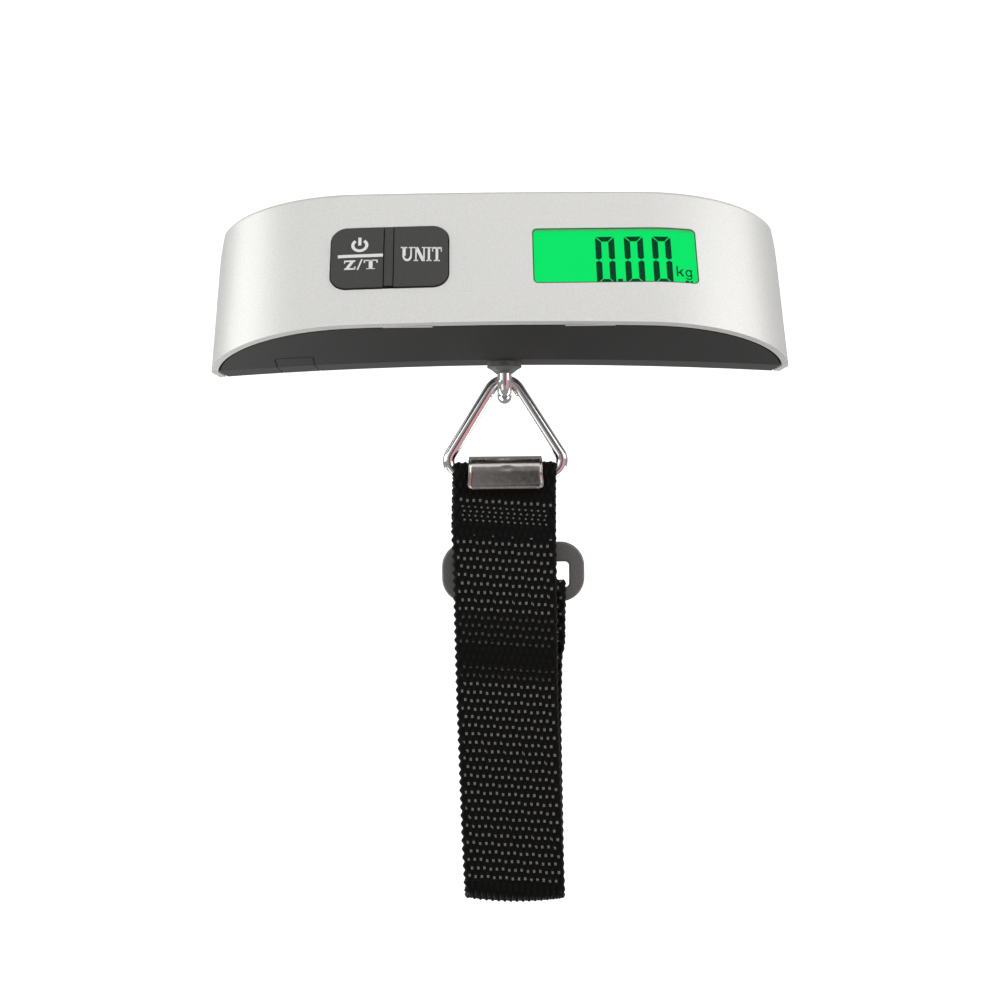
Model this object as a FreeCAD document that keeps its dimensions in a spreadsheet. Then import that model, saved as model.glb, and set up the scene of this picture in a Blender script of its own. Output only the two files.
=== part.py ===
import FreeCAD, Part
import math
import os
import re
import Sketcher

# Digital luggage scale.  Millimetres.  Row frame: +X along the case to the reader's right, +Y away
# from the reader, +Z up along the pull line.  The origin is the middle of the nose ridge, where the
# sloping display face meets the dark underside.  The "case" frame is the row frame tilted about X,
# so that its Z runs up the display face and its Y runs along the underside.

V = FreeCAD.Vector
doc = FreeCAD.newDocument("LuggageScale")

SIZES = {
    # case
    "half_length": 72.5, "face_height": 39.1, "underside_depth": 17.5, "tilt_angle": 24.66,
    "corner_long": 36.2, "corner_deep": 20.5, "arch_radius": 1144.0, "wall": 1.6, "seam_gap": 0.55,
    "split_y": 26.4, "back_y": 28.4, "floor": 1.8, "edge_round": 1.4, "fit_gap": 0.1,
    "roof_radius": 2300.0,
    # display window and keypad openings, in the case frame
    "window_left": 8.15, "window_right": 48.85, "window_low": 10.9, "window_high": 27.2,
    "window_round": 1.3, "pad_left": -41.45, "pad_right": -12.45, "pad_low": 10.2, "pad_high": 28.2,
    "pad_round": 4.0, "key_proud": 0.4, "rib_left": -28.4, "rib_right": -26.0, "key_gap": 0.12,
    "rim_gap": 0.16,
    # hook, ring, clip
    "hook_x": 1.05, "hook_y": 21.2, "hook_wire": 1.8, "eye_bend": 3.75, "eye_z": -12.05,
    "tip_z": -11.2, "shank_top": 9.4, "bush_radius": 4.35, "bush_low": -8.75, "bush_tip": -10.0,
    "ring_wire": 1.5, "ring_apex": -11.75, "ring_bar": -35.6, "ring_slope": 32.0,
    "apex_bend": 4.2, "corner_bend": 3.4, "clip_width": 18.8, "clip_sheet": 0.55,
    "clip_low": -39.4,
    # strap
    "strap_width": 25.0, "strap_thick": 1.4, "loop_width": 21.4, "loop_radius": 1.85,
    "strap_low": -144.0, "fold_radius": 3.0, "tail_low": -50.0, "end_low": -79.5,
    # buckle plate
    "buckle_width": 36.8, "buckle_high": -53.1, "buckle_low": -68.6, "buckle_thick": 1.8,
    "buckle_round": 6.0, "slot_width": 28.9, "slot_low": -64.9, "slot_height": 6.6,
    "end_loop": 2.45,
    # works inside
    "board_front": 7.0, "board_thick": 1.6, "board_left": -43.0, "board_right": 53.0,
    "board_low": 5.0, "board_high": 31.0, "beam_left": -36.0, "beam_right": 7.5, "beam_low": -3.5,
    "beam_height": 8.0, "beam_width": 7.2, "spacer_width": 17.0, "cell_x": -51.0, "cell_z": 5.7,
    "cell_radius": 10.0, "cell_thick": 3.2, "cell_front": 22.3, "post_radius": 2.75,
    "screw_radius": 1.1,
    # battery door
    "door_width": 23.6, "door_low": -5.0, "door_high": 16.8, "latch_left": -56.0,
    "latch_right": -46.4, "latch_front": 12.3, "door_gap": 0.2,
}


def make_sheet():
    sheet = doc.addObject("Spreadsheet::Sheet", "Sizes")
    for row, (alias, value) in enumerate(SIZES.items(), start=1):
        sheet.set(f"A{row}", alias)
        sheet.set(f"B{row}", str(value))
        sheet.setAlias(f"B{row}", alias)
    doc.recompute()
    return sheet


def linked(expression):
    """The same expression with each size name pointing at its cell."""
    return re.sub(r"[a-z]+(_[a-z]+)*", lambda m: "Sizes." + m[0] if m[0] in SIZES else m[0],
                  str(expression))


def number(expression):
    """The value of an expression in the size names."""
    node = doc.getObject("Reckoner")
    node.setExpression("Value", linked(expression))
    node.recompute()
    return float(node.Value)


def turn(frame, axis):
    lean = -SIZES["tilt_angle"] if frame == "case" else 0.0
    about_x = FreeCAD.Rotation(V(1, 0, 0), lean)
    if axis == "y":
        return about_x * FreeCAD.Rotation(V(1, 0, 0), -90)
    if axis == "x":
        return about_x * FreeCAD.Rotation(V(0, 1, 0), 90)
    return about_x


def place(thing, where, frame="plumb", axis="z"):
    """Put a piece at a point given in the plumb or the case frame, its own Z along the axis."""
    x, y, z = (f"({value})" for value in where)
    if frame == "case":
        across = f"{y}*cos(tilt_angle)+{z}*sin(tilt_angle)"
        upward = f"{z}*cos(tilt_angle)-{y}*sin(tilt_angle)"
        y, z = across, upward
    thing.Placement = FreeCAD.Placement(V(0, 0, 0), turn(frame, axis))
    for key, value in zip("xyz", (x, y, z)):
        thing.setExpression(f"Placement.Base.{key}", linked(value))
    return thing


def block(name, xs, ys, zs, frame="plumb"):
    box = doc.addObject("Part::Box", name)
    for key, (low, high) in zip(("Length", "Width", "Height"), (xs, ys, zs)):
        box.setExpression(key, linked(f"({high})-({low})"))
    return place(box, (xs[0], ys[0], zs[0]), frame)


def rod(name, radius, length, where, frame="plumb", axis="z"):
    cylinder = doc.addObject("Part::Cylinder", name)
    cylinder.setExpression("Radius", linked(radius))
    cylinder.setExpression("Height", linked(length))
    return place(cylinder, where, frame, axis)


def cone(name, low_radius, high_radius, length, where):
    piece = doc.addObject("Part::Cone", name)
    piece.setExpression("Radius1", linked(low_radius))
    piece.setExpression("Radius2", linked(high_radius))
    piece.setExpression("Height", linked(length))
    return place(piece, where)


def fuse(name, *shapes):
    joined = doc.addObject("Part::MultiFuse", name)
    joined.Shapes = list(shapes)
    joined.Refine = True
    return joined


def common(name, *shapes):
    shared = doc.addObject("Part::MultiCommon", name)
    shared.Shapes = list(shapes)
    shared.Refine = True
    return shared


def cut(name, base, *tools):
    tool = tools[0] if len(tools) == 1 else fuse(name + "_tools", *tools)
    result = doc.addObject("Part::Cut", name)
    result.Base = base
    result.Tool = tool
    result.Refine = True
    return result


def group(name, pieces):
    """Separate solids that share one node."""
    together = doc.addObject("Part::Compound", name)
    together.Links = list(pieces)
    return together


def new_body(name, where, frame="plumb", axis="z"):
    body = doc.addObject("PartDesign::Body", name)
    return place(body, where, frame, axis)


def new_sketch(body, name, role="XY_Plane"):
    sketch = body.newObject("Sketcher::SketchObject", name)
    plane = next(item for item in body.Origin.OriginFeatures if item.Role == role)
    sketch.AttachmentSupport = [(plane, "")]
    sketch.MapMode = "FlatFace"
    return sketch


def add_size(sketch, kind, parts, expression):
    """A signed dimension, bound to the sheet."""
    if number(expression) < 0:
        parts = parts[2:] + parts[:2]
        expression = f"-({expression})"
    index = sketch.addConstraint(Sketcher.Constraint(kind, *parts, number(expression)))
    sketch.setExpression(f"Constraints[{index}]", linked(expression))


def draw_rectangle(sketch, width, height, x="0", y="0"):
    """A rectangle whose middle is x, y from the sketch's origin."""
    first = sketch.GeometryCount
    half_w, half_h = number(width) / 2, number(height) / 2
    middle_x, middle_y = number(x), number(y)
    corners = [V(middle_x + a * half_w, middle_y + b * half_h, 0)
               for a, b in ((-1, -1), (1, -1), (1, 1), (-1, 1))]
    for start, end in zip(corners, corners[1:] + corners[:1]):
        sketch.addGeometry(Part.LineSegment(start, end))
    for side in range(4):
        sketch.addConstraint(Sketcher.Constraint(
            "Coincident", first + side, 2, first + (side + 1) % 4, 1))
        level = "Horizontal" if side % 2 == 0 else "Vertical"
        sketch.addConstraint(Sketcher.Constraint(level, first + side))
    add_size(sketch, "DistanceX", (first, 1, first, 2), width)
    add_size(sketch, "DistanceY", (first + 1, 1, first + 1, 2), height)
    add_size(sketch, "DistanceX", (-1, 1, first, 1), f"({x})-({width})/2")
    add_size(sketch, "DistanceY", (-1, 1, first, 1), f"({y})-({height})/2")


def draw_circle(sketch, radius, x="0", y="0"):
    index = sketch.addGeometry(Part.Circle(V(number(x), number(y), 0), V(0, 0, 1), number(radius)))
    size = sketch.addConstraint(Sketcher.Constraint("Radius", index, number(radius)))
    sketch.setExpression(f"Constraints[{size}]", linked(radius))
    for kind, value in (("DistanceX", x), ("DistanceY", y)):
        if number(value) == 0:
            sketch.addConstraint(Sketcher.Constraint(kind, -1, 1, index, 3, 0))
        else:
            add_size(sketch, kind, (-1, 1, index, 3), value)


def pad(body, sketch, length, name):
    feature = body.newObject("PartDesign::Pad", name)
    feature.Profile = sketch
    feature.setExpression("Length", linked(length))
    sketch.Visibility = False
    return feature


def through_pocket(body, sketch, name):
    """A pocket along the sketch's normal, checked to take metal away."""
    doc.recompute()
    before = body.Shape.Volume
    feature = body.newObject("PartDesign::Pocket", name)
    feature.Profile = sketch
    feature.Type = "ThroughAll"
    feature.Midplane = True
    doc.recompute()
    assert body.Shape.Volume < before - 1e-3, name
    return feature


def rounded(name, thing, radius, chosen):
    """Fillet the edges that the rule picks."""
    doc.recompute()
    edges = [index for index, edge in enumerate(thing.Shape.Edges, start=1) if chosen(edge)]
    size = number(radius)
    fillet = doc.addObject("Part::Fillet", name)
    fillet.Base = thing
    fillet.Edges = [(index, size, size) for index in edges]
    return fillet


def case_coordinates(point):
    lean = math.radians(SIZES["tilt_angle"])
    depth = point.y * math.cos(lean) - point.z * math.sin(lean)
    rise = point.y * math.sin(lean) + point.z * math.cos(lean)
    return point.x, depth, rise


def runs_along_depth(edge):
    """Straight edges that cross the front wall."""
    if len(edge.Vertexes) != 2:
        return False
    start, end = (case_coordinates(vertex.Point) for vertex in edge.Vertexes)
    return abs(start[0] - end[0]) < 1e-4 and abs(start[2] - end[2]) < 1e-4


def swept(name, radius, edges):
    """A round bar along a chain of straight and curved edges."""
    path = Part.Wire(edges)
    start = path.Edges[0]
    heading = start.tangentAt(start.FirstParameter)
    origin = start.valueAt(start.FirstParameter)
    section = Part.Wire([Part.makeCircle(radius, origin, heading)])
    bar = doc.addObject("Part::Feature", name)
    solid = path.makePipeShell([section], True, False)
    bar.Shape = solid if solid.ShapeType == "Solid" else solid.Solids[0]
    return bar


# ---------------------------------------------------------------- case surfaces

def plan_block(name, inset, left="-half_length", right="half_length"):
    """The case's plan, a flat front with long elliptical corners, run up the display face."""
    low, high, deep = "-20", "50", "45"
    middle = block(name + "_middle", (f"{left}+corner_long", f"{right}-corner_long"),
                   (inset, deep), (low, high), "case")
    rear = block(name + "_rear", (f"{left}+({inset})", f"{right}-({inset})"),
                 ("corner_deep", deep), (low, high), "case")
    parts = [middle, rear]
    for side, spot in (("left", f"{left}+corner_long"), ("right", f"{right}-corner_long")):
        outline = doc.addObject("Part::Ellipse", f"{name}_{side}_outline")
        outline.setExpression("MajorRadius", linked(f"corner_long-({inset})"))
        outline.setExpression("MinorRadius", linked(f"corner_deep-({inset})"))
        place(outline, (spot, "corner_deep", low), "case")
        corner = doc.addObject("Part::Extrusion", f"{name}_{side}_corner")
        corner.Base = outline
        corner.DirMode = "Normal"
        corner.setExpression("LengthFwd", linked(f"{high}-({low})"))
        corner.Solid = True
        parts.append(corner)
    return fuse(name, *parts)


def below_arch(name, height, frame="case", radius="arch_radius"):
    """Everything under an arched surface whose crown is at the given height."""
    return rod(name, radius, "80", ("0", "-20", f"({height})-{radius}"), frame, "y")


def below_roof(name, height):
    """The same under the case's top, which arches less than its underside."""
    return below_arch(name, height, radius="roof_radius")


BOTTOM = "-underside_depth*sin(tilt_angle)"


def arched_prism(name, left, right, low, high, front, back, corner):
    """A window-like prism: upright sides, arched top and bottom, rounded corners."""
    slab = block(name + "_slab", (left, right), (front, back), ("-10", "45"), "case")
    capped = common(name + "_capped", slab, below_arch(name + "_top", high))
    prism = cut(name + "_sharp", capped, below_arch(name + "_bottom", low))
    return rounded(name, prism, corner, runs_along_depth)


def window_prism(name, inset, front, back):
    """The display window's outline, less an inset, as a prism with rounded corners."""
    slab = block(name + "_slab", (f"window_left+{inset}", f"window_right-{inset}"), (front, back),
                 (f"window_low+{inset}", f"window_high-{inset}"), "case")
    return rounded(name, slab, f"window_round-{inset}", runs_along_depth)


# ---------------------------------------------------------------- silver front shell

def make_front_shell():
    outside = common("shell_capped", plan_block("shell_plan", "0"),
                     below_roof("shell_roof", "face_height"))

    def roof_edge(edge):
        points = [case_coordinates(edge.valueAt(edge.FirstParameter + share * (
            edge.LastParameter - edge.FirstParameter))) for share in (0.0, 0.5, 1.0)]
        crown = SIZES["face_height"]
        radius = SIZES["roof_radius"]
        on_roof = all(abs(rise - crown - math.sqrt(radius ** 2 - x ** 2) + radius) < 1e-3
                      for x, _, rise in points)
        return on_roof and all(depth < 44.9 for _, depth, _ in points)

    softened = rounded("shell_softened", outside, "edge_round", roof_edge)
    hollow = common("shell_hollow", plan_block("shell_core", "wall"),
                    below_roof("shell_ceiling", "face_height-wall"))
    rear = block("shell_rear", ("-90", "90"), ("back_y", "80"), ("-60", "80"))
    post_rear = block("post_rear", ("-90", "90"), ("split_y", "80"), ("-60", "80"))
    limits = fuse("shell_limits", below_arch("shell_lip", "0"),
                  below_arch("shell_foot", BOTTOM, "plumb"), rear)
    skin = cut("shell_skin", softened, hollow, limits)
    posts = fuse("shell_posts", *[rod(f"post_{index}", "post_radius", "40", (x, "-13.7", z),
                                      "plumb", "y") for index, (x, z) in enumerate(POSTS)])
    trimmed = cut("posts_trimmed", common("posts_inside", posts, plan_block("post_plan", "0.4")),
                  limits, post_rear)
    ledges = [block(f"ledge_{side}", (left, f"{left}+12.1"), ("wall-0.2", "wall+0.3"),
                    ("-0.3", "1.2"), "case") for side, left in (("left", "-28.5"), ("right", "15.65"))]
    window = window_prism("window_opening", "0", "-3", "6")
    keyhole = arched_prism("keypad_opening", "pad_left-rim_gap", "pad_right+rim_gap",
                           "pad_low-rim_gap", "pad_high+rim_gap", "-3", "4", "pad_round+rim_gap")
    screw_holes = [rod(f"post_hole_{index}", "screw_radius+0.05", "6.2", (x, "split_y-6.1", z),
                       "plumb", "y") for index, (x, z) in enumerate(POSTS)]
    return cut("front_shell", fuse("shell_blank", skin, trimmed, *ledges), window, keyhole,
               *screw_holes)


POSTS = [("-62", "20.5"), ("62", "20.5"), ("-66.3", "-1"), ("66.3", "-1")]


# ---------------------------------------------------------------- black cover and battery door

def make_cover_blank():
    """Underside, bottom flat and back wall in one, before the battery door is parted off."""
    under = fuse("cover_under", below_arch("cover_lip", "0.15"),
                 below_arch("cover_foot", BOTTOM, "plumb"))
    within = fuse("cover_within", below_arch("cover_top", "0.15+floor"),
                  below_arch("cover_deck", f"{BOTTOM}+floor", "plumb"))
    keep = block("cover_keep", ("-90", "90"), ("-5", "back_y"), ("-60", "80"))
    tray = common("cover_tray", plan_block("cover_plan", "wall+seam_gap"), within, keep)
    tray_open = cut("cover_tray_open", tray, under)
    slab = block("back_slab", ("-90", "90"), ("split_y", "back_y"), ("-60", "80"))
    outline = common("back_outline", plan_block("back_plan", "wall+seam_gap"),
                     below_roof("back_roof", "face_height-wall-seam_gap"), slab)
    rim_under = fuse("rim_under", below_arch("rim_lip", "0"),
                     below_arch("rim_foot", BOTTOM, "plumb"))
    back = cut("back_wall", outline, rim_under)
    return fuse("cover_blank", tray_open, back)


def door_zone(name, gap):
    """The battery door's plate and its latch, which wraps under the case to the underside."""
    half = f"(door_width/2-({gap}))"
    plate = block(name + "_plate", (f"cell_x-{half}", f"cell_x+{half}"), ("split_y-0.2", "back_y+1"),
                  (f"door_low+({gap})", f"door_high-({gap})"))
    latch = block(name + "_latch", (f"latch_left+({gap})", f"latch_right-({gap})"),
                  (f"latch_front+({gap})", "back_y+1"), ("-14", f"door_low+0.4+({gap})"))
    return fuse(name, plate, latch)


def make_back_cover(blank):
    screw_ways = []
    for index, (x, z) in enumerate(POSTS):
        screw_ways.append(rod(f"cover_hole_{index}", "screw_radius+0.2", "6",
                              (x, "split_y-2", z), "plumb", "y"))
        screw_ways.append(rod(f"cover_sink_{index}", "2.3", "3", (x, "back_y-0.9", z),
                              "plumb", "y"))
    hook_way = rod("hook_way", "bush_radius+0.05", "12", ("hook_x", "hook_y", "-16"))
    return cut("back_cover", blank, door_zone("door_opening", "0"), hook_way, *screw_ways)


def make_battery_door(blank):
    door = common("door_shape", blank, door_zone("door_piece", "door_gap"))
    grips = [block(f"grip_{index}", ("cell_x-4", "cell_x+4"), ("back_y-0.4", "back_y+1"),
                   (f"{12 - 1.6 * index}", f"{12.7 - 1.6 * index}")) for index in range(4)]
    return cut("battery_door", door, *grips)


# ---------------------------------------------------------------- display and keypad

def make_display_lens():
    sheet = cut("lens_sheet", plan_block("lens_front", "0.12"), plan_block("lens_back", "1.12"))
    return common("display_lens", sheet, window_prism("lens_prism", "fit_gap", "-2", "5"))


def make_flat(name, width, height, thick, where):
    """A plate parallel to the display face, its front at the given point."""
    body = new_body(name, where, "case", "y")
    sketch = new_sketch(body, name + "_outline")
    draw_rectangle(sketch, width, height)
    pad(body, sketch, thick, name + "_pad")
    return body


def make_lcd_panel():
    return make_flat("lcd_panel", "39.0", "14.6", "1.5", ("28.5", "2.4", "18.5"))


def make_backlight():
    return make_flat("backlight", "42.0", "18.6", "2.6", ("28.5", "4.1", "18.5"))


def make_circuit_board():
    width = "(board_right-board_left)"
    height = "(board_high-board_low)"
    where = ("(board_right+board_left)/2", "board_front", "(board_high+board_low)/2")
    board = make_flat("circuit_board", width, height, "board_thick", where)
    holes = new_sketch(board, "board_holes")
    for x in (f"{width}/2-3", f"-{width}/2+3"):
        for y in (f"{height}/2-3", f"-{height}/2+3"):
            draw_circle(holes, "1.2", x, y)
    through_pocket(board, holes, "board_hole_pocket")
    return board


def make_main_chip():
    return make_flat("main_chip", "10", "10", "1.4", ("20", "board_front+board_thick", "18"))


def make_small_parts():
    rear = "board_front+board_thick"
    spots = [(-6 + 4.2 * (index % 4), 10 + 5.0 * (index // 4)) for index in range(12)]
    parts = [block(f"small_part_{index}", (f"{x}", f"{x}+2"), (rear, f"{rear}+0.8"),
                   (f"{z}", f"{z}+1.2"), "case") for index, (x, z) in enumerate(spots)]
    return group("small_parts", parts)


def make_key(name, left, right):
    """A rubber key: cap through the front wall, flange behind it, stem towards its switch."""
    low, high = "pad_low+key_gap", "pad_high-key_gap"
    whole = arched_prism(name + "_outline", "pad_left+key_gap", "pad_right-key_gap", low, high,
                         "-3", "2.3", "pad_round-key_gap")
    crown = common(name + "_crown", whole, plan_block(name + "_front", "-key_proud"),
                   block(name + "_half", (left, right), ("-5", "8"), ("-10", "45"), "case"))
    middle = f"(({left})+({right}))/2"
    stem = rod(name + "_stem", "2.6", "1.2", (middle, "2.2", "19.2"), "case", "y")
    flange = block(name + "_flange", (f"{left}+0.6", f"{right}-0.6"), ("1.95", "2.3"),
                   ("pad_low-1.2", "pad_high+0.6"), "case")
    return fuse(name, crown, stem, flange)


def make_keypad_frame():
    rib = block("keypad_rib", ("rib_left+key_gap", "rib_right-key_gap"), ("-0.22", "3.3"),
                ("pad_low+0.25", "pad_high-0.35"), "case")
    plate = block("keypad_plate", ("pad_left-2", "pad_right+2"), ("3.0", "3.5"),
                  ("pad_low-2", "pad_high+1.6"), "case")
    ways = [rod(f"stem_way_{index}", "3.2", "6", (x, "0", "19.2"), "case", "y")
            for index, x in enumerate(("(pad_left+rib_left)/2", "(pad_right+rib_right)/2"))]
    return cut("keypad_frame", fuse("keypad_solid", rib, plate), *ways)


def make_switch(name, middle):
    base = block(name + "_base", (f"{middle}-3", f"{middle}+3"), ("board_front-2.3", "board_front"),
                 ("16.2", "22.2"), "case")
    knob = rod(name + "_knob", "1.7", "0.8", (middle, "board_front-3.0", "19.2"), "case", "y")
    return fuse(name, base, knob)


# ---------------------------------------------------------------- battery

def make_battery_tray():
    floor = block("tray_floor", ("cell_x-11.4", "cell_x+11.4"), ("20.4", "21.4"),
                  ("cell_z-10.0", "cell_z+11.4"))
    ring = cut("tray_ring", rod("tray_outer", "cell_radius+1.4", "4.5", ("cell_x", "20.9", "cell_z"),
                                "plumb", "y"),
               rod("tray_inner", "cell_radius+0.3", "8", ("cell_x", "21.4", "cell_z"), "plumb", "y"))
    keep = block("tray_keep", ("-80", "-20"), ("10", "40"), ("cell_z-10.0", "40"))
    return common("battery_tray", fuse("tray_whole", floor, ring), keep)


def make_coin_cell():
    body = new_body("coin_cell", ("cell_x", "cell_front+0.5", "cell_z"), "plumb", "y")
    can = new_sketch(body, "cell_can")
    draw_circle(can, "cell_radius")
    pad(body, can, "cell_thick-0.5", "cell_can_pad")
    base = new_sketch(body, "cell_cap")
    draw_circle(base, "cell_radius-1.2")
    cap = pad(body, base, "0.5", "cell_cap_pad")
    cap.Reversed = True
    return body


def make_contacts():
    minus = block("contact_minus", ("cell_x-2", "cell_x+2"), ("21.45", "21.75"),
                  ("cell_z-6", "cell_z+6"))
    leaf = block("plus_leaf", ("cell_x-3", "cell_x+3"), ("25.75", "26.05"),
                 ("cell_z+2", "cell_z+12.6"))
    leg = block("plus_leg", ("cell_x-3", "cell_x+3"), ("17.5", "26.05"),
                ("cell_z+12.3", "cell_z+12.6"))
    return minus, fuse("contact_plus", leaf, leg)


# ---------------------------------------------------------------- load cell and hook

def make_load_beam():
    """Binocular bending beam: fixed at its left end, pulled down at its right end."""
    length = "(beam_right-beam_left)"
    body = new_body("load_beam", ("(beam_right+beam_left)/2", "hook_y-beam_width/2",
                                  "beam_low+beam_height/2"), "plumb", "y")
    sketch = new_sketch(body, "beam_outline")
    draw_rectangle(sketch, length, "beam_height")
    pad(body, sketch, "beam_width", "beam_pad")
    eyes = new_sketch(body, "beam_eyes")
    for offset in ("-2.2", "6.2"):
        draw_circle(eyes, "2.7", offset)
    through_pocket(body, eyes, "beam_eye_pocket")
    link = new_sketch(body, "beam_link")
    draw_rectangle(link, "8.4", "2.0", "2.0")
    through_pocket(body, link, "beam_link_pocket")
    holes = [rod(f"beam_hole_{index}", "1.55", "30", (x, "hook_y", "-12"))
             for index, x in enumerate(BEAM_SCREWS)]
    shank_way = rod("beam_shank_way", "hook_wire+0.08", "30", ("hook_x", "hook_y", "-12"))
    body.Label = "beam_body"
    return cut("load_beam_drilled", body, shank_way, *holes)


BEAM_SCREWS = ("beam_left+4.2", "beam_left+12.2")


def make_beam_spacer():
    """Foot block between the case floor and the beam's fixed end; its underside is arched too."""
    pillar = block("spacer_block", ("beam_left", "beam_left+spacer_width"),
                   ("hook_y-beam_width/2", "hook_y+beam_width/2"), ("-9", "beam_low"))
    floor_zone = fuse("spacer_floor", below_arch("spacer_deck", f"{BOTTOM}+floor", "plumb"),
                      below_arch("spacer_slope", "0.15+floor"))
    holes = [rod(f"spacer_hole_{index}", "1.52", "20", (x, "hook_y", "-14"))
             for index, x in enumerate(BEAM_SCREWS)]
    return cut("beam_spacer", pillar, floor_zone, *holes)


def make_beam_screws():
    screws = []
    for index, x in enumerate(BEAM_SCREWS):
        shank = rod(f"beam_screw_shank_{index}", "1.5", "beam_height+2.2", (x, "hook_y",
                    "beam_low-2.2"))
        head = rod(f"beam_screw_head_{index}", "2.7", "1.9", (x, "hook_y", "beam_low+beam_height"))
        socket = block(f"beam_screw_slot_{index}", (f"{x}-3", f"{x}+3"), ("hook_y-0.35", "hook_y+0.35"),
                       ("beam_low+beam_height+1.1", "beam_low+beam_height+3"))
        screws.append(cut(f"beam_screw_{index}", fuse(f"beam_screw_solid_{index}", shank, head),
                          socket))
    return group("beam_screws", screws)


def make_strain_gauges():
    top = "beam_low+beam_height"
    return group("strain_gauges", [
        block(f"gauge_{index}", (f"{x}", f"{x}+5"), ("hook_y-2", "hook_y+2"), (top, f"{top}+0.25"))
        for index, x in enumerate((-18.9, -10.5))])


def make_hook_bush():
    rim = rod("bush_rim", "bush_radius", "-4.4-bush_low", ("hook_x", "hook_y", "bush_low"))
    flange = rod("bush_flange", "bush_radius+0.6", "0.5", ("hook_x", "hook_y", "-4.9"))
    skirt = cone("bush_skirt", "hook_wire+0.25", "bush_radius", "bush_low-bush_tip",
                 ("hook_x", "hook_y", "bush_tip"))
    way = rod("bush_way", "hook_wire+0.07", "20", ("hook_x", "hook_y", "-16"))
    return cut("hook_bush", fuse("bush_solid", rim, flange, skirt), way)


def make_load_hook():
    """Shank through the bush and beam, then a hook bent back and up, in the YZ plane."""
    x, y, low = number("hook_x"), number("hook_y"), number("eye_z")
    bend, top, tip = number("eye_bend"), number("shank_top"), number("tip_z")
    middle = y + bend
    edges = [Part.makeLine(V(x, y, top), V(x, y, low)),
             Part.Arc(V(x, y, low), V(x, middle, low - bend), V(x, middle + bend, low)).toShape(),
             Part.makeLine(V(x, middle + bend, low), V(x, middle + bend, tip))]
    bar = swept("hook_bar", number("hook_wire"), edges)
    ball = doc.addObject("Part::Sphere", "hook_tip")
    ball.setExpression("Radius", linked("hook_wire"))
    place(ball, ("hook_x", "hook_y+2*eye_bend", "tip_z"))
    return fuse("load_hook", bar, ball)


def make_shank_washer():
    body = new_body("shank_washer", ("hook_x", "hook_y", "beam_low+beam_height"))
    sketch = new_sketch(body, "washer_outline")
    draw_circle(sketch, "3.6")
    draw_circle(sketch, "hook_wire+0.08")
    pad(body, sketch, "0.8", "washer_pad")
    return body


def make_shank_nut():
    prism = doc.addObject("Part::Prism", "nut_prism")
    prism.Polygon = 6
    prism.setExpression("Circumradius", linked("hook_wire*2.1"))
    prism.Height = 3.0
    place(prism, ("hook_x", "hook_y", "beam_low+beam_height+0.85"))
    way = rod("nut_way", "hook_wire", "12", ("hook_x", "hook_y", "0"))
    return cut("shank_nut", prism, way)


# ---------------------------------------------------------------- ring, clip

def ring_path(centre_x, y):
    """Closed triangle with bent corners, in the XZ plane."""
    lean = math.radians(SIZES["ring_slope"])
    apex, bar = SIZES["ring_apex"], SIZES["ring_bar"]
    top_bend, low_bend = SIZES["apex_bend"], SIZES["corner_bend"]
    outward = V(math.cos(lean), 0, math.sin(lean))
    top_centre = V(centre_x, y, apex - top_bend)
    vertex = V(centre_x, y, top_centre.z + top_bend / math.sin(lean))
    reach = (vertex.z - bar) * math.tan(lean)
    half_turn = (math.pi / 2 - lean) / 2
    low_centre = V(centre_x + reach - low_bend / math.tan(half_turn), y, bar + low_bend)
    right = [top_centre + outward * top_bend, low_centre + outward * low_bend,
             V(low_centre.x, y, bar)]
    spread = (lean - math.pi / 2) / 2
    elbow = low_centre + V(math.cos(spread), 0, math.sin(spread)) * low_bend

    def mirrored(point):
        return V(2 * centre_x - point.x, point.y, point.z)

    return [
        Part.makeLine(V(centre_x, y, bar), right[2]),
        Part.Arc(right[2], elbow, right[1]).toShape(),
        Part.makeLine(right[1], right[0]),
        Part.Arc(right[0], V(centre_x, y, apex), mirrored(right[0])).toShape(),
        Part.makeLine(mirrored(right[0]), mirrored(right[1])),
        Part.Arc(mirrored(right[1]), mirrored(elbow), mirrored(right[2])).toShape(),
        Part.makeLine(mirrored(right[2]), V(centre_x, y, bar)),
    ]


def make_triangle_ring():
    y = number("hook_y+eye_bend")
    return swept("triangle_ring", number("ring_wire"), ring_path(number("hook_x"), y))


RING_Y = "hook_y+eye_bend"


def make_strap_clip():
    """Folded sheet over the strap's top loop: a half round on top and two leaves."""
    y, bar, low = number(RING_Y), number("ring_bar"), number("clip_low")
    inner = number("loop_radius+strap_thick+0.12")
    outer = inner + number("clip_sheet")
    pinch = 1.0

    def side(sign, radius):
        return V(0, y + sign * radius, bar), V(0, y + sign * (radius - pinch), low)

    front_out, front_out_low = side(-1, outer)
    front_in, front_in_low = side(-1, inner)
    rear_out, rear_out_low = side(1, outer)
    rear_in, rear_in_low = side(1, inner)
    outline = Part.Wire([
        Part.makeLine(front_out_low, front_out),
        Part.Arc(front_out, V(0, y, bar + outer), rear_out).toShape(),
        Part.makeLine(rear_out, rear_out_low), Part.makeLine(rear_out_low, rear_in_low),
        Part.makeLine(rear_in_low, rear_in),
        Part.Arc(rear_in, V(0, y, bar + inner), front_in).toShape(),
        Part.makeLine(front_in, front_in_low), Part.makeLine(front_in_low, front_out_low)])
    clip = doc.addObject("Part::Feature", "strap_clip")
    clip.Shape = Part.Face(outline).extrude(V(number("clip_width"), 0, 0))
    clip.Placement = FreeCAD.Placement(V(number("hook_x-clip_width/2"), 0, 0), FreeCAD.Rotation())
    return clip


# ---------------------------------------------------------------- strap

def strap_span(width):
    return (f"hook_x-{width}/2", f"hook_x+{width}/2")


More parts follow.
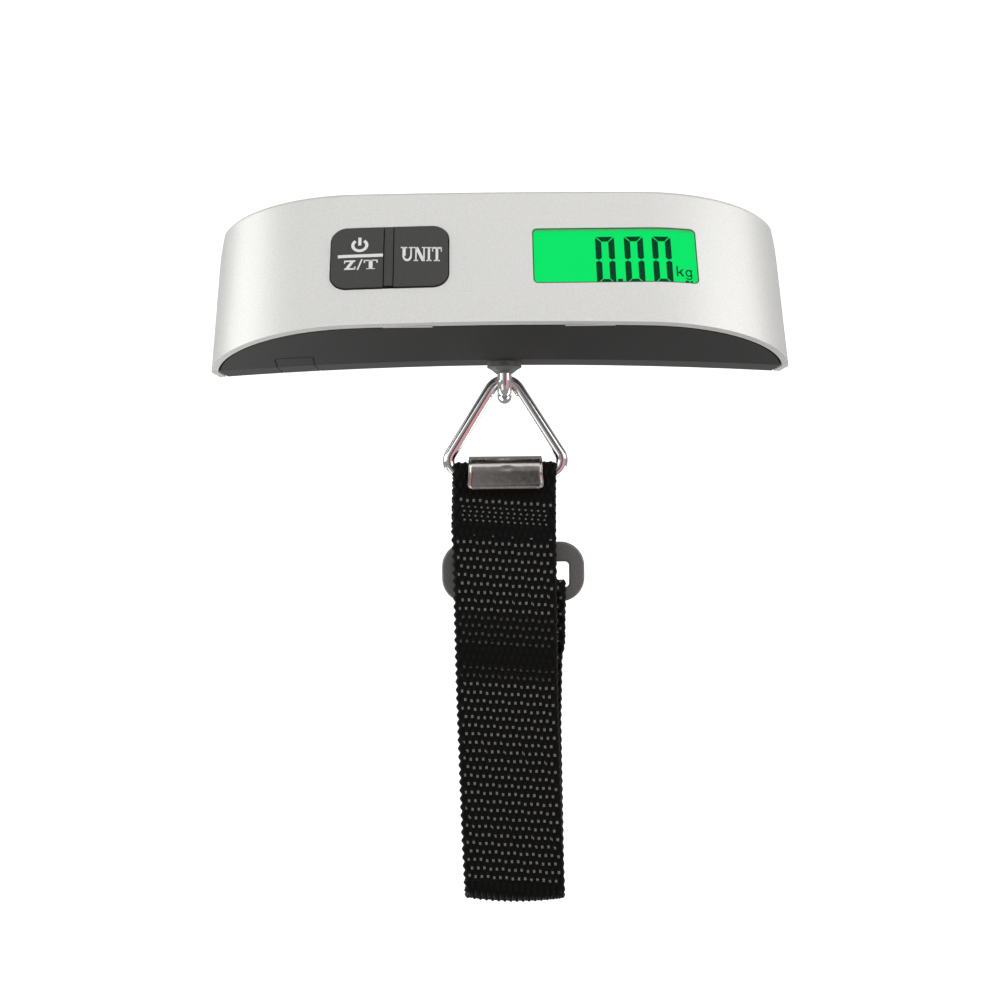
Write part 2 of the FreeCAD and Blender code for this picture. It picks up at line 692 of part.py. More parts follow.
def make_loop(name, radius, width, y, z):
    """The webbing's turn round a bar."""
    start = f"hook_x-{width}/2"
    return cut(name, rod(name + "_outer", f"{radius}+strap_thick", width, (start, y, z),
                         "plumb", "x"),
               rod(name + "_inner", radius, f"{width}+4", (f"{start}-2", y, z), "plumb", "x"))


FOLD_Z = "strap_low+fold_radius+strap_thick/2"


def make_strap_front():
    wide = strap_span("strap_width")
    narrow = strap_span("loop_width")
    loop = make_loop("top_loop", "loop_radius", "loop_width", RING_Y, "ring_bar")
    shoulder = f"ring_bar-loop_radius-strap_thick"
    neck = block("strap_neck", narrow, (f"{RING_Y}-strap_thick", f"{RING_Y}+strap_thick"),
                 (f"{shoulder}-0.6", f"{shoulder}+1.15"))
    front_run = block("front_run", wide, (f"{RING_Y}-strap_thick", RING_Y),
                      (FOLD_Z, f"{shoulder}-0.6"))
    tail = block("strap_tail", wide, (RING_Y, f"{RING_Y}+strap_thick"),
                 ("tail_low", f"{shoulder}-0.6"))
    return fuse("strap_front", loop, neck, front_run, tail)


def make_strap_fold():
    middle = f"{RING_Y}-strap_thick/2+fold_radius"
    tube = make_loop("fold_tube", "(fold_radius-strap_thick/2)", "strap_width", middle, FOLD_Z)
    half = block("fold_half", ("-60", "60"), ("0", "60"), ("-200", FOLD_Z))
    return common("strap_fold", tube, half)


BACK_RUN = f"{RING_Y}-strap_thick/2+2*fold_radius"
BAR_Y = f"{BACK_RUN}-strap_thick/2"
BAR_Z = "(buckle_low+slot_low)/2"


def make_strap_back():
    wide = strap_span("strap_width")
    loop = make_loop("end_turn", "end_loop", "strap_width", BAR_Y, BAR_Z)
    joint = f"{BAR_Z}-end_loop-strap_thick"
    run = block("back_run", wide, (BAR_Y, f"{BAR_Y}+strap_thick"), (FOLD_Z, f"{joint}+0.8"))
    end = block("strap_end", wide, (f"{BAR_Y}-strap_thick", BAR_Y), ("end_low", f"{joint}+0.8"))
    return fuse("strap_back", loop, run, end)


def make_stitches(name, y_low, y_high, levels):
    """Bar tacks: rows of thread that show on both faces of the doubled webbing."""
    threads = []
    for row, level in enumerate(levels):
        for side, (low, high) in enumerate(((f"{y_low}-0.22", y_low), (y_high, f"{y_high}+0.22"))):
            threads.append(block(f"{name}_{row}_{side}", ("hook_x-10.5", "hook_x+10.5"),
                                 (low, high), (level, f"{level}+0.6")))
    return group(name, threads)


# ---------------------------------------------------------------- buckle

def make_buckle():
    high = "(buckle_high-buckle_low)"
    body = new_body("buckle_plate", ("hook_x+1.75", f"{BAR_Y}-buckle_thick/2",
                                     "(buckle_high+buckle_low)/2"), "plumb", "y")
    outline = new_sketch(body, "buckle_outline")
    draw_rectangle(outline, "buckle_width", high)
    plate = pad(body, outline, "buckle_thick", "buckle_pad")
    doc.recompute()
    fillet = body.newObject("PartDesign::Fillet", "buckle_corners")
    corners = [f"Edge{index}" for index, edge in enumerate(body.Shape.Edges, start=1)
               if abs(edge.tangentAt(edge.FirstParameter).y) > 0.9]
    fillet.Base = (plate, corners)
    fillet.setExpression("Radius", linked("buckle_round"))
    slot = new_sketch(body, "buckle_slot")
    offset = "-(slot_low+slot_height/2-(buckle_high+buckle_low)/2)"
    draw_rectangle(slot, "slot_width", "slot_height", "0", offset)
    through_pocket(body, slot, "buckle_slot_pocket")
    back = f"{BAR_Y}+buckle_thick/2"
    shelf = block("hook_shelf", ("hook_x-5.6", "hook_x+8.4"), (f"{back}-0.4", f"{back}+5.0"),
                  ("buckle_high-1.8", "buckle_high"))
    lip = block("hook_lip", ("hook_x-5.6", "hook_x+8.4"), (f"{back}+3.6", f"{back}+5.0"),
                ("buckle_high-6.4", "buckle_high"))
    return fuse("buckle", body, shelf, lip)


# ---------------------------------------------------------------- fasteners and wires

def make_case_screws():
    screws = []
    for index, (x, z) in enumerate(POSTS):
        shank = rod(f"case_screw_shank_{index}", "screw_radius", "6.9", (x, "split_y-5.6", z),
                    "plumb", "y")
        head = rod(f"case_screw_head_{index}", "2.1", "0.75", (x, "back_y-0.88", z), "plumb", "y")
        slots = [block(f"case_screw_cross_{index}_{turned}", (f"{x}-{long}", f"{x}+{long}"),
                       ("back_y-0.5", "back_y+1"), (f"{z}-{high}", f"{z}+{high}"))
                 for turned, (long, high) in enumerate((("1.2", "0.25"), ("0.25", "1.2")))]
        screws.append(cut(f"case_screw_{index}", fuse(f"case_screw_solid_{index}", shank, head),
                          *slots))
    return group("case_screws", screws)


def make_wires(name, runs):
    """Thin insulated wires, each a straight run."""
    wires = []
    for index, (start, end) in enumerate(runs):
        start, end = V(*start), V(*end)
        wire = doc.addObject("Part::Feature", f"{name}_{index}")
        wire.Shape = Part.makeCylinder(0.35, start.distanceToPoint(end), V(0, 0, 0), end - start)
        wire.Placement = FreeCAD.Placement(start, FreeCAD.Rotation())
        wires.append(wire)
    return group(name, wires)


def make_gauge_wires():
    top = number("beam_low+beam_height") + 0.65
    return make_wires("gauge_wires", [((-17.5 + 1.1 * index, 20.4, top),
                                       (-17.5 + 1.1 * index, 16.4, 13.0)) for index in range(4)])


def make_battery_wires():
    return make_wires("battery_wires", [((-41.5, 20.6, 17.6 + 1.4 * index),
                                         (-38.0, 19.3, 17.6 + 1.4 * index)) for index in range(2)])


# ---------------------------------------------------------------- build and write

def build_all():
    blank = make_cover_blank()
    minus, plus = make_contacts()
    stitch_top = [f"{RING_Y}", "tail_low"]
    tail_rows = [f"{stitch_top[1]}+{offset}" for offset in (1.5, 3.0, 8.0)]
    end_rows = [f"end_low+{offset}" for offset in (1.5, 3.0, 7.4)]
    key_left = ("pad_left-1", "rib_left-key_gap")
    key_right = ("rib_right+key_gap", "pad_right+1")
    return {
        "front_shell": make_front_shell(),
        "back_cover": make_back_cover(blank),
        "battery_door": make_battery_door(blank),
        "display_lens": make_display_lens(),
        "lcd_panel": make_lcd_panel(),
        "backlight": make_backlight(),
        "circuit_board": make_circuit_board(),
        "main_chip": make_main_chip(),
        "small_parts": make_small_parts(),
        "keypad_frame": make_keypad_frame(),
        "power_button": make_key("power_key", *key_left),
        "unit_button": make_key("unit_key", *key_right),
        "power_switch": make_switch("power_contact", "(pad_left+rib_left)/2"),
        "unit_switch": make_switch("unit_contact", "(pad_right+rib_right)/2"),
        "battery_tray": make_battery_tray(),
        "coin_cell": make_coin_cell(),
        "contact_minus": minus,
        "contact_plus": plus,
        "load_beam": make_load_beam(),
        "beam_spacer": make_beam_spacer(),
        "beam_screws": make_beam_screws(),
        "strain_gauges": make_strain_gauges(),
        "hook_bush": make_hook_bush(),
        "load_hook": make_load_hook(),
        "shank_washer": make_shank_washer(),
        "shank_nut": make_shank_nut(),
        "triangle_ring": make_triangle_ring(),
        "strap_clip": make_strap_clip(),
        "strap_front": make_strap_front(),
        "strap_fold": make_strap_fold(),
        "strap_back": make_strap_back(),
        "tail_stitches": make_stitches("tail_stitches", f"{RING_Y}-strap_thick",
                                       f"{RING_Y}+strap_thick", tail_rows),
        "end_stitches": make_stitches("end_stitches", f"{BAR_Y}-strap_thick",
                                      f"{BAR_Y}+strap_thick", end_rows),
        "buckle": make_buckle(),
        "case_screws": make_case_screws(),
        "gauge_wires": make_gauge_wires(),
        "battery_wires": make_battery_wires(),
    }


def check(pieces):
    for thing in doc.Objects:
        bad = {"Invalid", "Error"} & set(thing.State)
        assert not bad, f"{thing.Name}: {thing.State}"
    for node, thing in pieces.items():
        shape = thing.Shape
        assert not shape.isNull() and shape.isValid() and shape.Solids, node
        print(f"{node:16s} {len(shape.Solids):3d} solids {shape.Volume:10.1f} mm3")


make_sheet()
doc.addObject("App::FeaturePython", "Reckoner").addProperty("App::PropertyFloat", "Value")
nodes = build_all()
doc.recompute()
for label, piece in nodes.items():
    piece.Label = label
check(nodes)
os.makedirs("parts", exist_ok=True)
for label, piece in nodes.items():
    piece.Shape.exportStep(f"parts/{label}.step")
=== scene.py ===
import math

import bpy
import numpy as np
from mathutils import Matrix, Vector


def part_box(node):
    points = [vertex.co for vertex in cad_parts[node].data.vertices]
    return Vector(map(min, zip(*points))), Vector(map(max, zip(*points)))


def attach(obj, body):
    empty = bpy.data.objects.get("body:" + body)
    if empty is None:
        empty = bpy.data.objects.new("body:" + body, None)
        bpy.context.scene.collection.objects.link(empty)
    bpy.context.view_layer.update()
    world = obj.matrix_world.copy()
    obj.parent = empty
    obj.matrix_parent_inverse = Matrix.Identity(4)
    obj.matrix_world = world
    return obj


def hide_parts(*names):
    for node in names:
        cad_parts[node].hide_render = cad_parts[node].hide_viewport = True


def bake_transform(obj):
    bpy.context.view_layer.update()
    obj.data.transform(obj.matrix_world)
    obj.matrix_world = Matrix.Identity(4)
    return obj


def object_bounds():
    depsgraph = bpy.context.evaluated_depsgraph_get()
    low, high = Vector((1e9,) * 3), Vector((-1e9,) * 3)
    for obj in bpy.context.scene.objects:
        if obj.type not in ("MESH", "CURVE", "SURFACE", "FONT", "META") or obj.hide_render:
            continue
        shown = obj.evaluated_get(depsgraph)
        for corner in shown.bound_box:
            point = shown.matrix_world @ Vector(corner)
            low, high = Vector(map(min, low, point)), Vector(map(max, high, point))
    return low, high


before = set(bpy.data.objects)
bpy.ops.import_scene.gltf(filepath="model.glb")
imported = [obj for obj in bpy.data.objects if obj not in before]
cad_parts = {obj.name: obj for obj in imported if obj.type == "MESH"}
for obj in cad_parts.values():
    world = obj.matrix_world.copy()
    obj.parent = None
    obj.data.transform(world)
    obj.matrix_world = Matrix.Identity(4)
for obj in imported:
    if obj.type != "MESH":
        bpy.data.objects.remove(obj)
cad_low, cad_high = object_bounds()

# A digital luggage scale.  Row frame, metres: +X to the reader's right, +Y away, +Z up.  Sizes of the
# object are in millimetres and turned into metres where a mesh is made.  Those of the studio, its
# lights and its camera are in metres.

MM = 0.001

# ---------------------------------------------------------------- places read from the frame

ring_low, ring_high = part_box("triangle_ring")
_, lower_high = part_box("strap_back")
fold_low, fold_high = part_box("strap_fold")
buckle_low, buckle_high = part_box("buckle")
bush_low, bush_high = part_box("hook_bush")
pull_x = (ring_low.x + ring_high.x) / 2 / MM
ring_y = (ring_low.y + ring_high.y) / 2 / MM
ring_wire = (ring_high.y - ring_low.y) / 2 / MM
bar_z = ring_low.z / MM + ring_wire
hook_y = (bush_low.y + bush_high.y) / 2 / MM

# ---------------------------------------------------------------- the case's own surfaces

TILT = math.radians(24.66)
HALF_LENGTH = 72.5
CORNER_LONG = 36.2
CORNER_DEEP = 20.5
ARCH_RADIUS = 1144.0


def plan_depth(x):
    """How far the display face has curved back at x."""
    past = abs(x) - (HALF_LENGTH - CORNER_LONG)
    if past <= 0:
        return 0.0
    share = min(past / CORNER_LONG, 1.0)
    return CORNER_DEEP * (1 - math.sqrt(1 - share * share))


def arch_drop(x):
    return ARCH_RADIUS - math.sqrt(ARCH_RADIUS ** 2 - x * x)


def on_case(x, depth, rise, arched=True):
    """A point given along the case, behind the display face and up it, in the row frame in metres."""
    if arched:
        rise = rise - arch_drop(x)
    depth = depth + plan_depth(x)
    across = depth * math.cos(TILT) + rise * math.sin(TILT)
    upward = rise * math.cos(TILT) - depth * math.sin(TILT)
    return Vector((x, across, upward)) * MM


# ---------------------------------------------------------------- materials

RAMP_ENDS = (0.35, 0.65)
GRAIN_DEPTH = 0.00005
SMOOTHER, ROUGHER = 0.06, 0.08


def new_material(name, color, roughness, metallic=0.0, **settings):
    material = bpy.data.materials.new(name)
    material.use_nodes = True
    shader = material.node_tree.nodes["Principled BSDF"]
    shader.inputs["Base Color"].default_value = (*color, 1)
    shader.inputs["Roughness"].default_value = roughness
    shader.inputs["Metallic"].default_value = metallic
    for key, value in settings.items():
        shader.inputs[key.replace("_", " ")].default_value = value
    return material


def add_node(material, kind, **inputs):
    node = material.node_tree.nodes.new(kind)
    for key, value in inputs.items():
        node.inputs[key].default_value = value
    return node


def join(material, source, target):
    material.node_tree.links.new(source, target)


def shader_input(material, key):
    return material.node_tree.nodes["Principled BSDF"].inputs[key]


def object_noise(material, scale, detail):
    """Noise that is fixed to the object."""
    coordinates = add_node(material, "ShaderNodeTexCoord")
    noise = add_node(material, "ShaderNodeTexNoise", Scale=scale, Detail=detail)
    join(material, coordinates.outputs["Object"], noise.inputs["Vector"])
    return noise.outputs["Fac"]


def color_ramp(material, source, colors, positions):
    ramp = add_node(material, "ShaderNodeValToRGB")
    for element, color, position in zip(ramp.color_ramp.elements, colors, positions):
        element.position = position
        element.color = (*color, 1)
    join(material, source, ramp.inputs["Fac"])
    return ramp.outputs["Color"]


def vary_color(material, source, dark, light):
    color = color_ramp(material, source, (dark, light), RAMP_ENDS)
    join(material, color, shader_input(material, "Base Color"))


def vary_roughness(material, source, smooth, rough):
    span = add_node(material, "ShaderNodeMapRange")
    span.inputs["To Min"].default_value = smooth
    span.inputs["To Max"].default_value = rough
    join(material, source, span.inputs["Value"])
    join(material, span.outputs["Result"], shader_input(material, "Roughness"))


def add_bump(material, source, strength):
    bump = add_node(material, "ShaderNodeBump", Strength=strength, Distance=GRAIN_DEPTH)
    join(material, source, bump.inputs["Height"])
    join(material, bump.outputs["Normal"], shader_input(material, "Normal"))


def scaled(color, factor):
    return tuple(min(1.0, channel * factor) for channel in color)


def grained(name, color, roughness, metallic, grain, swing, bump, **settings):
    """A surface with a fine grain in its colour, gloss and relief."""
    material = new_material(name, color, roughness, metallic, **settings)
    noise = object_noise(material, grain, 3.0)
    vary_color(material, noise, scaled(color, 1 - swing), scaled(color, 1 + swing))
    vary_roughness(material, noise, roughness - SMOOTHER, roughness + ROUGHER)
    add_bump(material, noise, bump)
    return material


def lit_green(name, color, strength, swing):
    """Backlit display colour, a little uneven as a real light guide is."""
    material = new_material(name, scaled(color, 0.03), 0.6, Specular_IOR_Level=0.0,
                            Emission_Strength=strength)
    noise = object_noise(material, 60, 1.0)
    glow = color_ramp(material, noise, (scaled(color, 1 - swing), color), (0, 1))
    join(material, glow, shader_input(material, "Emission Color"))
    return material


# Each look: material name, colour, roughness, metallic, scale of its grain, swing of its colour and
# strength of its relief.
GRAINED_LOOKS = {
    "silver": ("silver_paint", (0.70, 0.697, 0.678), 0.42, 0.30, 2600, 0.05, 0.10),
    "black": ("black_plastic", (0.015, 0.015, 0.014), 0.46, 0.0, 3200, 0.22, 0.30),
    "key": ("key_rubber", (0.045, 0.045, 0.041), 0.55, 0.0, 3000, 0.15, 0.2),
    "cup": ("bush_plastic", (0.125, 0.127, 0.120), 0.38, 0.0, 1800, 0.2, 0.25),
    "chrome": ("hook_chrome", (0.86, 0.84, 0.835), 0.09, 1.0, 700, 0.03, 0.04),
    "sheet": ("clip_chrome", (0.50, 0.465, 0.445), 0.18, 1.0, 900, 0.08, 0.08),
    "gunmetal": ("buckle_metal", (0.20, 0.20, 0.193), 0.42, 0.35, 2200, 0.15, 0.2),
    "web": ("webbing", (0.0035, 0.0036, 0.0031), 0.55, 0.0, 5200, 0.45, 0.5),
    # Painted highlights: a pale grey and a dimmer grey, given to the crests of the webbing's floats
    # and to the stitches in place of their shine.
    "crest": ("webbing_painted_highlight", (0.19, 0.192, 0.185), 0.40, 0.0, 5200, 0.35, 0.4),
    "dull_crest": ("webbing_dim_painted_highlight", (0.045, 0.045, 0.043), 0.5, 0.0, 5200, 0.35, 0.4),
    "thread": ("thread", (0.012, 0.012, 0.012), 0.5, 0.0, 6000, 0.3, 0.5),
    "print": ("legend_white", (0.83, 0.83, 0.81), 0.5, 0.0, 4000, 0.03, 0.1),
    # Painted shade: the dark band round the inside of the display window.
    "edge": ("window_rim_painted_shade", (0.004, 0.045, 0.016), 0.5, 0.0, 4000, 0.2, 0.1),
    "lcd": ("lcd_glass", (0.30, 0.62, 0.38), 0.12, 0.0, 900, 0.04, 0.03),
    "board": ("board_green", (0.02, 0.13, 0.05), 0.35, 0.0, 1400, 0.25, 0.2),
    "chip": ("chip_black", (0.02, 0.02, 0.02), 0.5, 0.0, 5000, 0.2, 0.3),
    "tan": ("chip_tan", (0.45, 0.34, 0.22), 0.5, 0.0, 5000, 0.2, 0.3),
    "white": ("white_plastic", (0.72, 0.72, 0.69), 0.45, 0.0, 2500, 0.04, 0.2),
    "steel": ("plain_steel", (0.60, 0.60, 0.59), 0.28, 1.0, 1800, 0.08, 0.12),
    "aluminium": ("beam_aluminium", (0.74, 0.75, 0.76), 0.33, 1.0, 1500, 0.06, 0.15),
    "foil": ("gauge_foil", (0.65, 0.38, 0.16), 0.4, 0.8, 4000, 0.2, 0.2),
    "wire": ("wire_cover", (0.40, 0.03, 0.02), 0.45, 0.0, 3000, 0.1, 0.1),
}
SHADER_EXTRAS = {
    "silver": {"Coat_Weight": 0.15, "Coat_Roughness": 0.25},
    "black": {"Specular_IOR_Level": 0.5},
    "key": {"Specular_IOR_Level": 0.4},
    "web": {"Specular_IOR_Level": 0.12},
}


def ink_look():
    """The display's dark segments, which its light shows through a little."""
    ink = new_material("display_ink", (0.0, 0.03, 0.012), 0.6, Specular_IOR_Level=0.0)
    vary_color(ink, object_noise(ink, 900, 2.0), (0.0, 0.024, 0.010), (0.001, 0.036, 0.015))
    return ink


def lens_look():
    """The clear window, nearly all see-through."""
    lens = new_material("lens_clear", (0.1, 0.6, 0.25), 0.06, Specular_IOR_Level=0.04, Alpha=0.03)
    vary_roughness(lens, object_noise(lens, 300, 2.0), 0.04, 0.09)
    return lens


def make_materials():
    looks = {look: grained(*values, **SHADER_EXTRAS.get(look, {}))
             for look, values in GRAINED_LOOKS.items()}
    looks["glow"] = lit_green("display_glow", (0.0, 0.84, 0.145), 1.0, 0.08)
    looks["guide"] = lit_green("light_guide", (0.25, 0.9, 0.4), 0.3, 0.2)
    looks["ink"] = ink_look()
    looks["lens"] = lens_look()
    return looks


LOOKS = make_materials()

NODE_LOOKS = {
    "front_shell": "silver", "back_cover": "black", "battery_door": "black", "display_lens": "lens",
    "lcd_panel": "lcd", "backlight": "guide", "circuit_board": "board", "main_chip": "chip",
    "small_parts": "tan", "keypad_frame": "key", "power_button": "key", "unit_button": "key",
    "power_switch": "steel", "unit_switch": "steel", "battery_tray": "white", "coin_cell": "steel",
    "contact_minus": "steel", "contact_plus": "steel", "load_beam": "aluminium",
    "beam_spacer": "white", "beam_screws": "steel", "strain_gauges": "foil", "hook_bush": "cup",
    "load_hook": "chrome", "shank_washer": "steel", "shank_nut": "steel", "triangle_ring": "chrome",
    "strap_clip": "sheet", "strap_front": "web", "strap_fold": "web", "strap_back": "web",
    "tail_stitches": "thread", "end_stitches": "thread", "buckle": "gunmetal",
    "case_screws": "steel", "gauge_wires": "wire", "battery_wires": "wire",
}


def dress_nodes():
    for node, look in NODE_LOOKS.items():
        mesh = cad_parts[node].data
        mesh.materials.clear()
        mesh.materials.append(LOOKS[look])


# ---------------------------------------------------------------- mesh helpers

def make_piece(name, points, faces, look, body, smooth=True):
    """A mesh piece from points in metres, riding on a body."""
    mesh = bpy.data.meshes.new(name)
    mesh.from_pydata([tuple(point) for point in points], [], [tuple(face) for face in faces])
    mesh.materials.append(LOOKS[look])
    mesh.validate()
    mesh.update()
    piece = bpy.data.objects.new(name, mesh)
    bpy.context.scene.collection.objects.link(piece)
    mesh.polygons.foreach_set("use_smooth", [smooth] * len(mesh.polygons))
    if body:
        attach(piece, body)
    return piece


def grid_faces(rows, columns, wrap_rows=False, wrap_columns=False):
    """Quads of a grid whose points run along its columns first."""
    faces = []
    for row in range(rows if wrap_rows else rows - 1):
        upper = (row + 1) % rows
        for column in range(columns if wrap_columns else columns - 1):
            across = (column + 1) % columns
            faces.append((row * columns + column, row * columns + across,
                          upper * columns + across, upper * columns + column))
    return faces


LONGEST_EDGE = 0.7


def finely(outline):
    """The same closed outline with its long edges divided, so that it can follow the curved face."""
    fine = []
    for start, end in zip(outline, outline[1:] + outline[:1]):
        parts = max(1, math.ceil(math.dist(start, end) / LONGEST_EDGE))
        for part in range(parts):
            share = part / parts
            fine.append((start[0] + (end[0] - start[0]) * share,
                         start[1] + (end[1] - start[1]) * share))
    return fine


def solid_outline(outline, low, high, arched):
    """A closed flat shape, given as (x, rise) points, as a thin slab lying on the case's face."""
    outline = finely(outline)
    count = len(outline)
    points = [on_case(x, low, rise, arched) for x, rise in outline]
    points += [on_case(x, high, rise, arched) for x, rise in outline]
    faces = [tuple(range(count)), tuple(range(2 * count - 1, count - 1, -1))]
    for index in range(count):
        following = (index + 1) % count
        faces.append((index, index + count, following + count, following))
    return points, faces


def slabs(name, outlines, low, high, look, body, slot, arched=True):
    """Several slabs in one piece."""
    points, faces = [], []
    for outline in outlines:
        more, sides = solid_outline(outline, low, high, arched)
        faces += [tuple(index + len(points) for index in side) for side in sides]
        points += more
    return make_piece(name, points, faces, look, body, smooth=False)


def lathed(outline, steps):
    """Points of a shape turned about the Z axis, from its outline of (radius, z) points."""
    turns = [2 * math.pi * step / steps for step in range(steps)]
    return [Vector((radius * math.cos(turn), radius * math.sin(turn), z))
            for radius, z in outline for turn in turns]


def give_thickness(piece, thickness, offset):
    """Turn a sheet without thickness into a solid one; the thickness is in mm."""
    sheet = piece.modifiers.new("sheet", "SOLIDIFY")
    sheet.thickness = thickness * MM
    sheet.offset = offset


# ---------------------------------------------------------------- lettering

def bar(x0, y0, x1, y1):
    return [(x0, y0), (x1, y0), (x1, y1), (x0, y1)]


def slant(x0, y0, x1, y1, width):
    """A sloping stroke with level ends."""
    half = width / 2
    return [(x0 - half, y0), (x0 + half, y0), (x1 + half, y1), (x1 - half, y1)]


def band(x, y, wide, high, thick, start, end, steps=28):
    """Part of an oval stroke, its angles in degrees."""
    angles = [math.radians(start + (end - start) * step / steps) for step in range(steps + 1)]
    outer = [(x + wide * math.cos(a), y + high * math.sin(a)) for a in angles]
    inner = [(x + (wide - thick) * math.cos(a), y + (high - thick) * math.sin(a)) for a in angles]
    return [[outer[i], outer[i + 1], inner[i + 1], inner[i]] for i in range(steps)]


LETTERS = {
    "U": [bar(0.14, 0.36, 0.38, 1.0), bar(0.0, 0.91, 0.50, 1.0), bar(0.74, 0.36, 0.86, 1.0),
          bar(0.62, 0.91, 0.98, 1.0), *band(0.50, 0.37, 0.36, 0.38, 0.15, 180, 360)],
    "N": [bar(0.12, 0.0, 0.24, 1.0), bar(0.0, 0.0, 0.36, 0.08), bar(0.0, 0.92, 0.26, 1.0),
          slant(0.80, 0.0, 0.20, 1.0, 0.28), bar(0.78, 0.02, 0.90, 1.0), bar(0.66, 0.92, 1.0, 1.0)],
    "I": [bar(0.30, 0.0, 0.70, 1.0), bar(0.05, 0.0, 0.95, 0.09), bar(0.05, 0.91, 0.95, 1.0)],
    "T": [bar(0.37, 0.0, 0.63, 1.0), bar(0.20, 0.0, 0.80, 0.08), bar(0.02, 0.88, 0.98, 1.0),
          bar(0.02, 0.68, 0.12, 1.0), bar(0.88, 0.68, 0.98, 1.0)],
    "Z": [bar(0.05, 0.0, 0.97, 0.16), bar(0.03, 0.84, 0.95, 1.0), slant(0.20, 0.0, 0.78, 1.0, 0.30),
          bar(0.88, 0.0, 0.97, 0.34), bar(0.03, 0.68, 0.12, 1.0)],
    "/": [slant(0.20, -0.05, 0.80, 1.08, 0.22)],
    "k": [bar(0.05, 0.0, 0.24, 1.35), slant(0.28, 0.40, 0.80, 0.95, 0.24),
          slant(0.82, 0.0, 0.42, 0.62, 0.26)],
    "g": [*band(0.46, 0.48, 0.42, 0.48, 0.17, 0, 360), bar(0.72, -0.10, 0.90, 0.95),
          *band(0.47, -0.10, 0.43, 0.30, 0.15, 190, 360)],
}


def lettered(text, left, low, widths, height, gap, slope=0.0):
    """Outlines of a word on the case's face; the line of text climbs by its slope."""
    start = left
    outlines = []
    for letter, width in zip(text, widths):
        for shape in LETTERS[letter]:
            outlines.append([(left + width * x, low + height * y + slope * (left + width * x - start))
                             for x, y in shape])
        left += width + gap
    return outlines


KEY_FACE = -0.40
LEGEND_PROUD = 0.045
LEGEND_SUNK = 0.02


def make_legends():
    """White marks on the two keys."""
    proud = (KEY_FACE - LEGEND_PROUD, KEY_FACE + LEGEND_SUNK)
    unit = lettered("UNIT", -24.25, 17.75, (3.2, 3.0, 1.4, 2.5), 4.2, 0.02, slope=-0.035)
    slabs("unit_legend", unit, *proud, "print", "unit_key", "key_rubber")
    tare = lettered("Z/T", -38.15, 15.65, (3.0, 1.75, 3.6), 2.75, 0.03)
    rule = [bar(-39.65, 19.2, -28.6, 20.1)]
    ring = band(-34.35, 22.8, 2.1, 2.0, 0.78, 128, 412, 40)
    stem = [bar(-34.75, 22.75, -33.97, 25.1)]
    slabs("power_legend", tare + rule + ring + stem, *proud, "print", "power_key", "key_rubber")


# ---------------------------------------------------------------- display

FILM_DEPTH = 1.30
FILM_GAP = 0.02
FILM_COLUMNS, FILM_ROWS = 60, 6
INK_OUT = (0.05, 0.01)
LINE_DEPTH = 0.10
LINE_INSETS = (0.05, 0.34)
WINDOW = (8.15, 48.85, 10.9, 27.2)
WINDOW_ROUND = 1.3
DIGIT_LOW = 11.30
DIGIT_HEIGHT = 14.0
DIGIT_WIDTH = 4.75
DIGIT_STROKE = 1.5
DIGIT_LEFTS = (23.8, 30.95, 37.85)
DIGIT_GAP = 0.13
DIGIT_NIB = 0.55


def make_display_film():
    """The lit layer straight behind the lens, which follows the lens's curve."""
    left, right, low, high = WINDOW
    across = np.linspace(left + FILM_GAP, right - FILM_GAP, FILM_COLUMNS)
    rises = np.linspace(low + FILM_GAP, high - FILM_GAP, FILM_ROWS)
    points = [on_case(x, FILM_DEPTH, rise, arched=False) for rise in rises for x in across]
    make_piece("display_film", points, grid_faces(FILM_ROWS, FILM_COLUMNS), "glow", "case")


def window_loop(inset):
    """The window's rounded outline, less an inset."""
    left, right, low, high = WINDOW
    middle = ((left + right) / 2, (low + high) / 2)
    return rounded_loop(*middle, (right - left) / 2 - inset, (high - low) / 2 - inset,
                        max(WINDOW_ROUND - inset, 0.2), 8, long_steps=24)


def make_window_shade_line():
    """A dark band just inside the display window's rim, all round it: painted shade along the lens's
    edge.
    """
    loops = [window_loop(inset) for inset in LINE_INSETS]
    count = len(loops[0])
    points = [on_case(x, LINE_DEPTH, rise, arched=False) for loop in loops for x, rise in loop]
    make_piece("window_shade_line", points, grid_faces(2, count, wrap_columns=True), "edge", "case")


def upright_segment(side, inward, end, middle, upward):
    """One mitred upright bar of a digit, from its corner to its middle."""
    inner = side + inward * DIGIT_STROKE
    return [(side, end + upward * 0.55), (side + inward * 0.2, end + upward * 0.28),
            (inner, end + upward * (DIGIT_STROKE + DIGIT_GAP)),
            (inner, middle - upward * (DIGIT_NIB + DIGIT_GAP)),
            (side + inward * DIGIT_STROKE / 2, middle - upward * DIGIT_GAP),
            (side, middle - upward * DIGIT_NIB)]


def digit_zero(left):
    """A seven-segment nought: six separate mitred bars."""
    right, top = left + DIGIT_WIDTH, DIGIT_LOW + DIGIT_HEIGHT
    middle = DIGIT_LOW + DIGIT_HEIGHT / 2
    shapes = [upright_segment(side, inward, end, middle, upward)
              for side, inward in ((left, 1), (right, -1))
              for end, upward in ((top, -1), (DIGIT_LOW, 1))]
    for edge, inward in ((top, -1), (DIGIT_LOW, 1)):
        inner = edge + inward * DIGIT_STROKE * 0.95
        shapes.append([(left + 0.4, edge), (right - 0.4, edge),
                       (right - DIGIT_STROKE - 0.1, inner), (left + DIGIT_STROKE + 0.1, inner)])
    return shapes


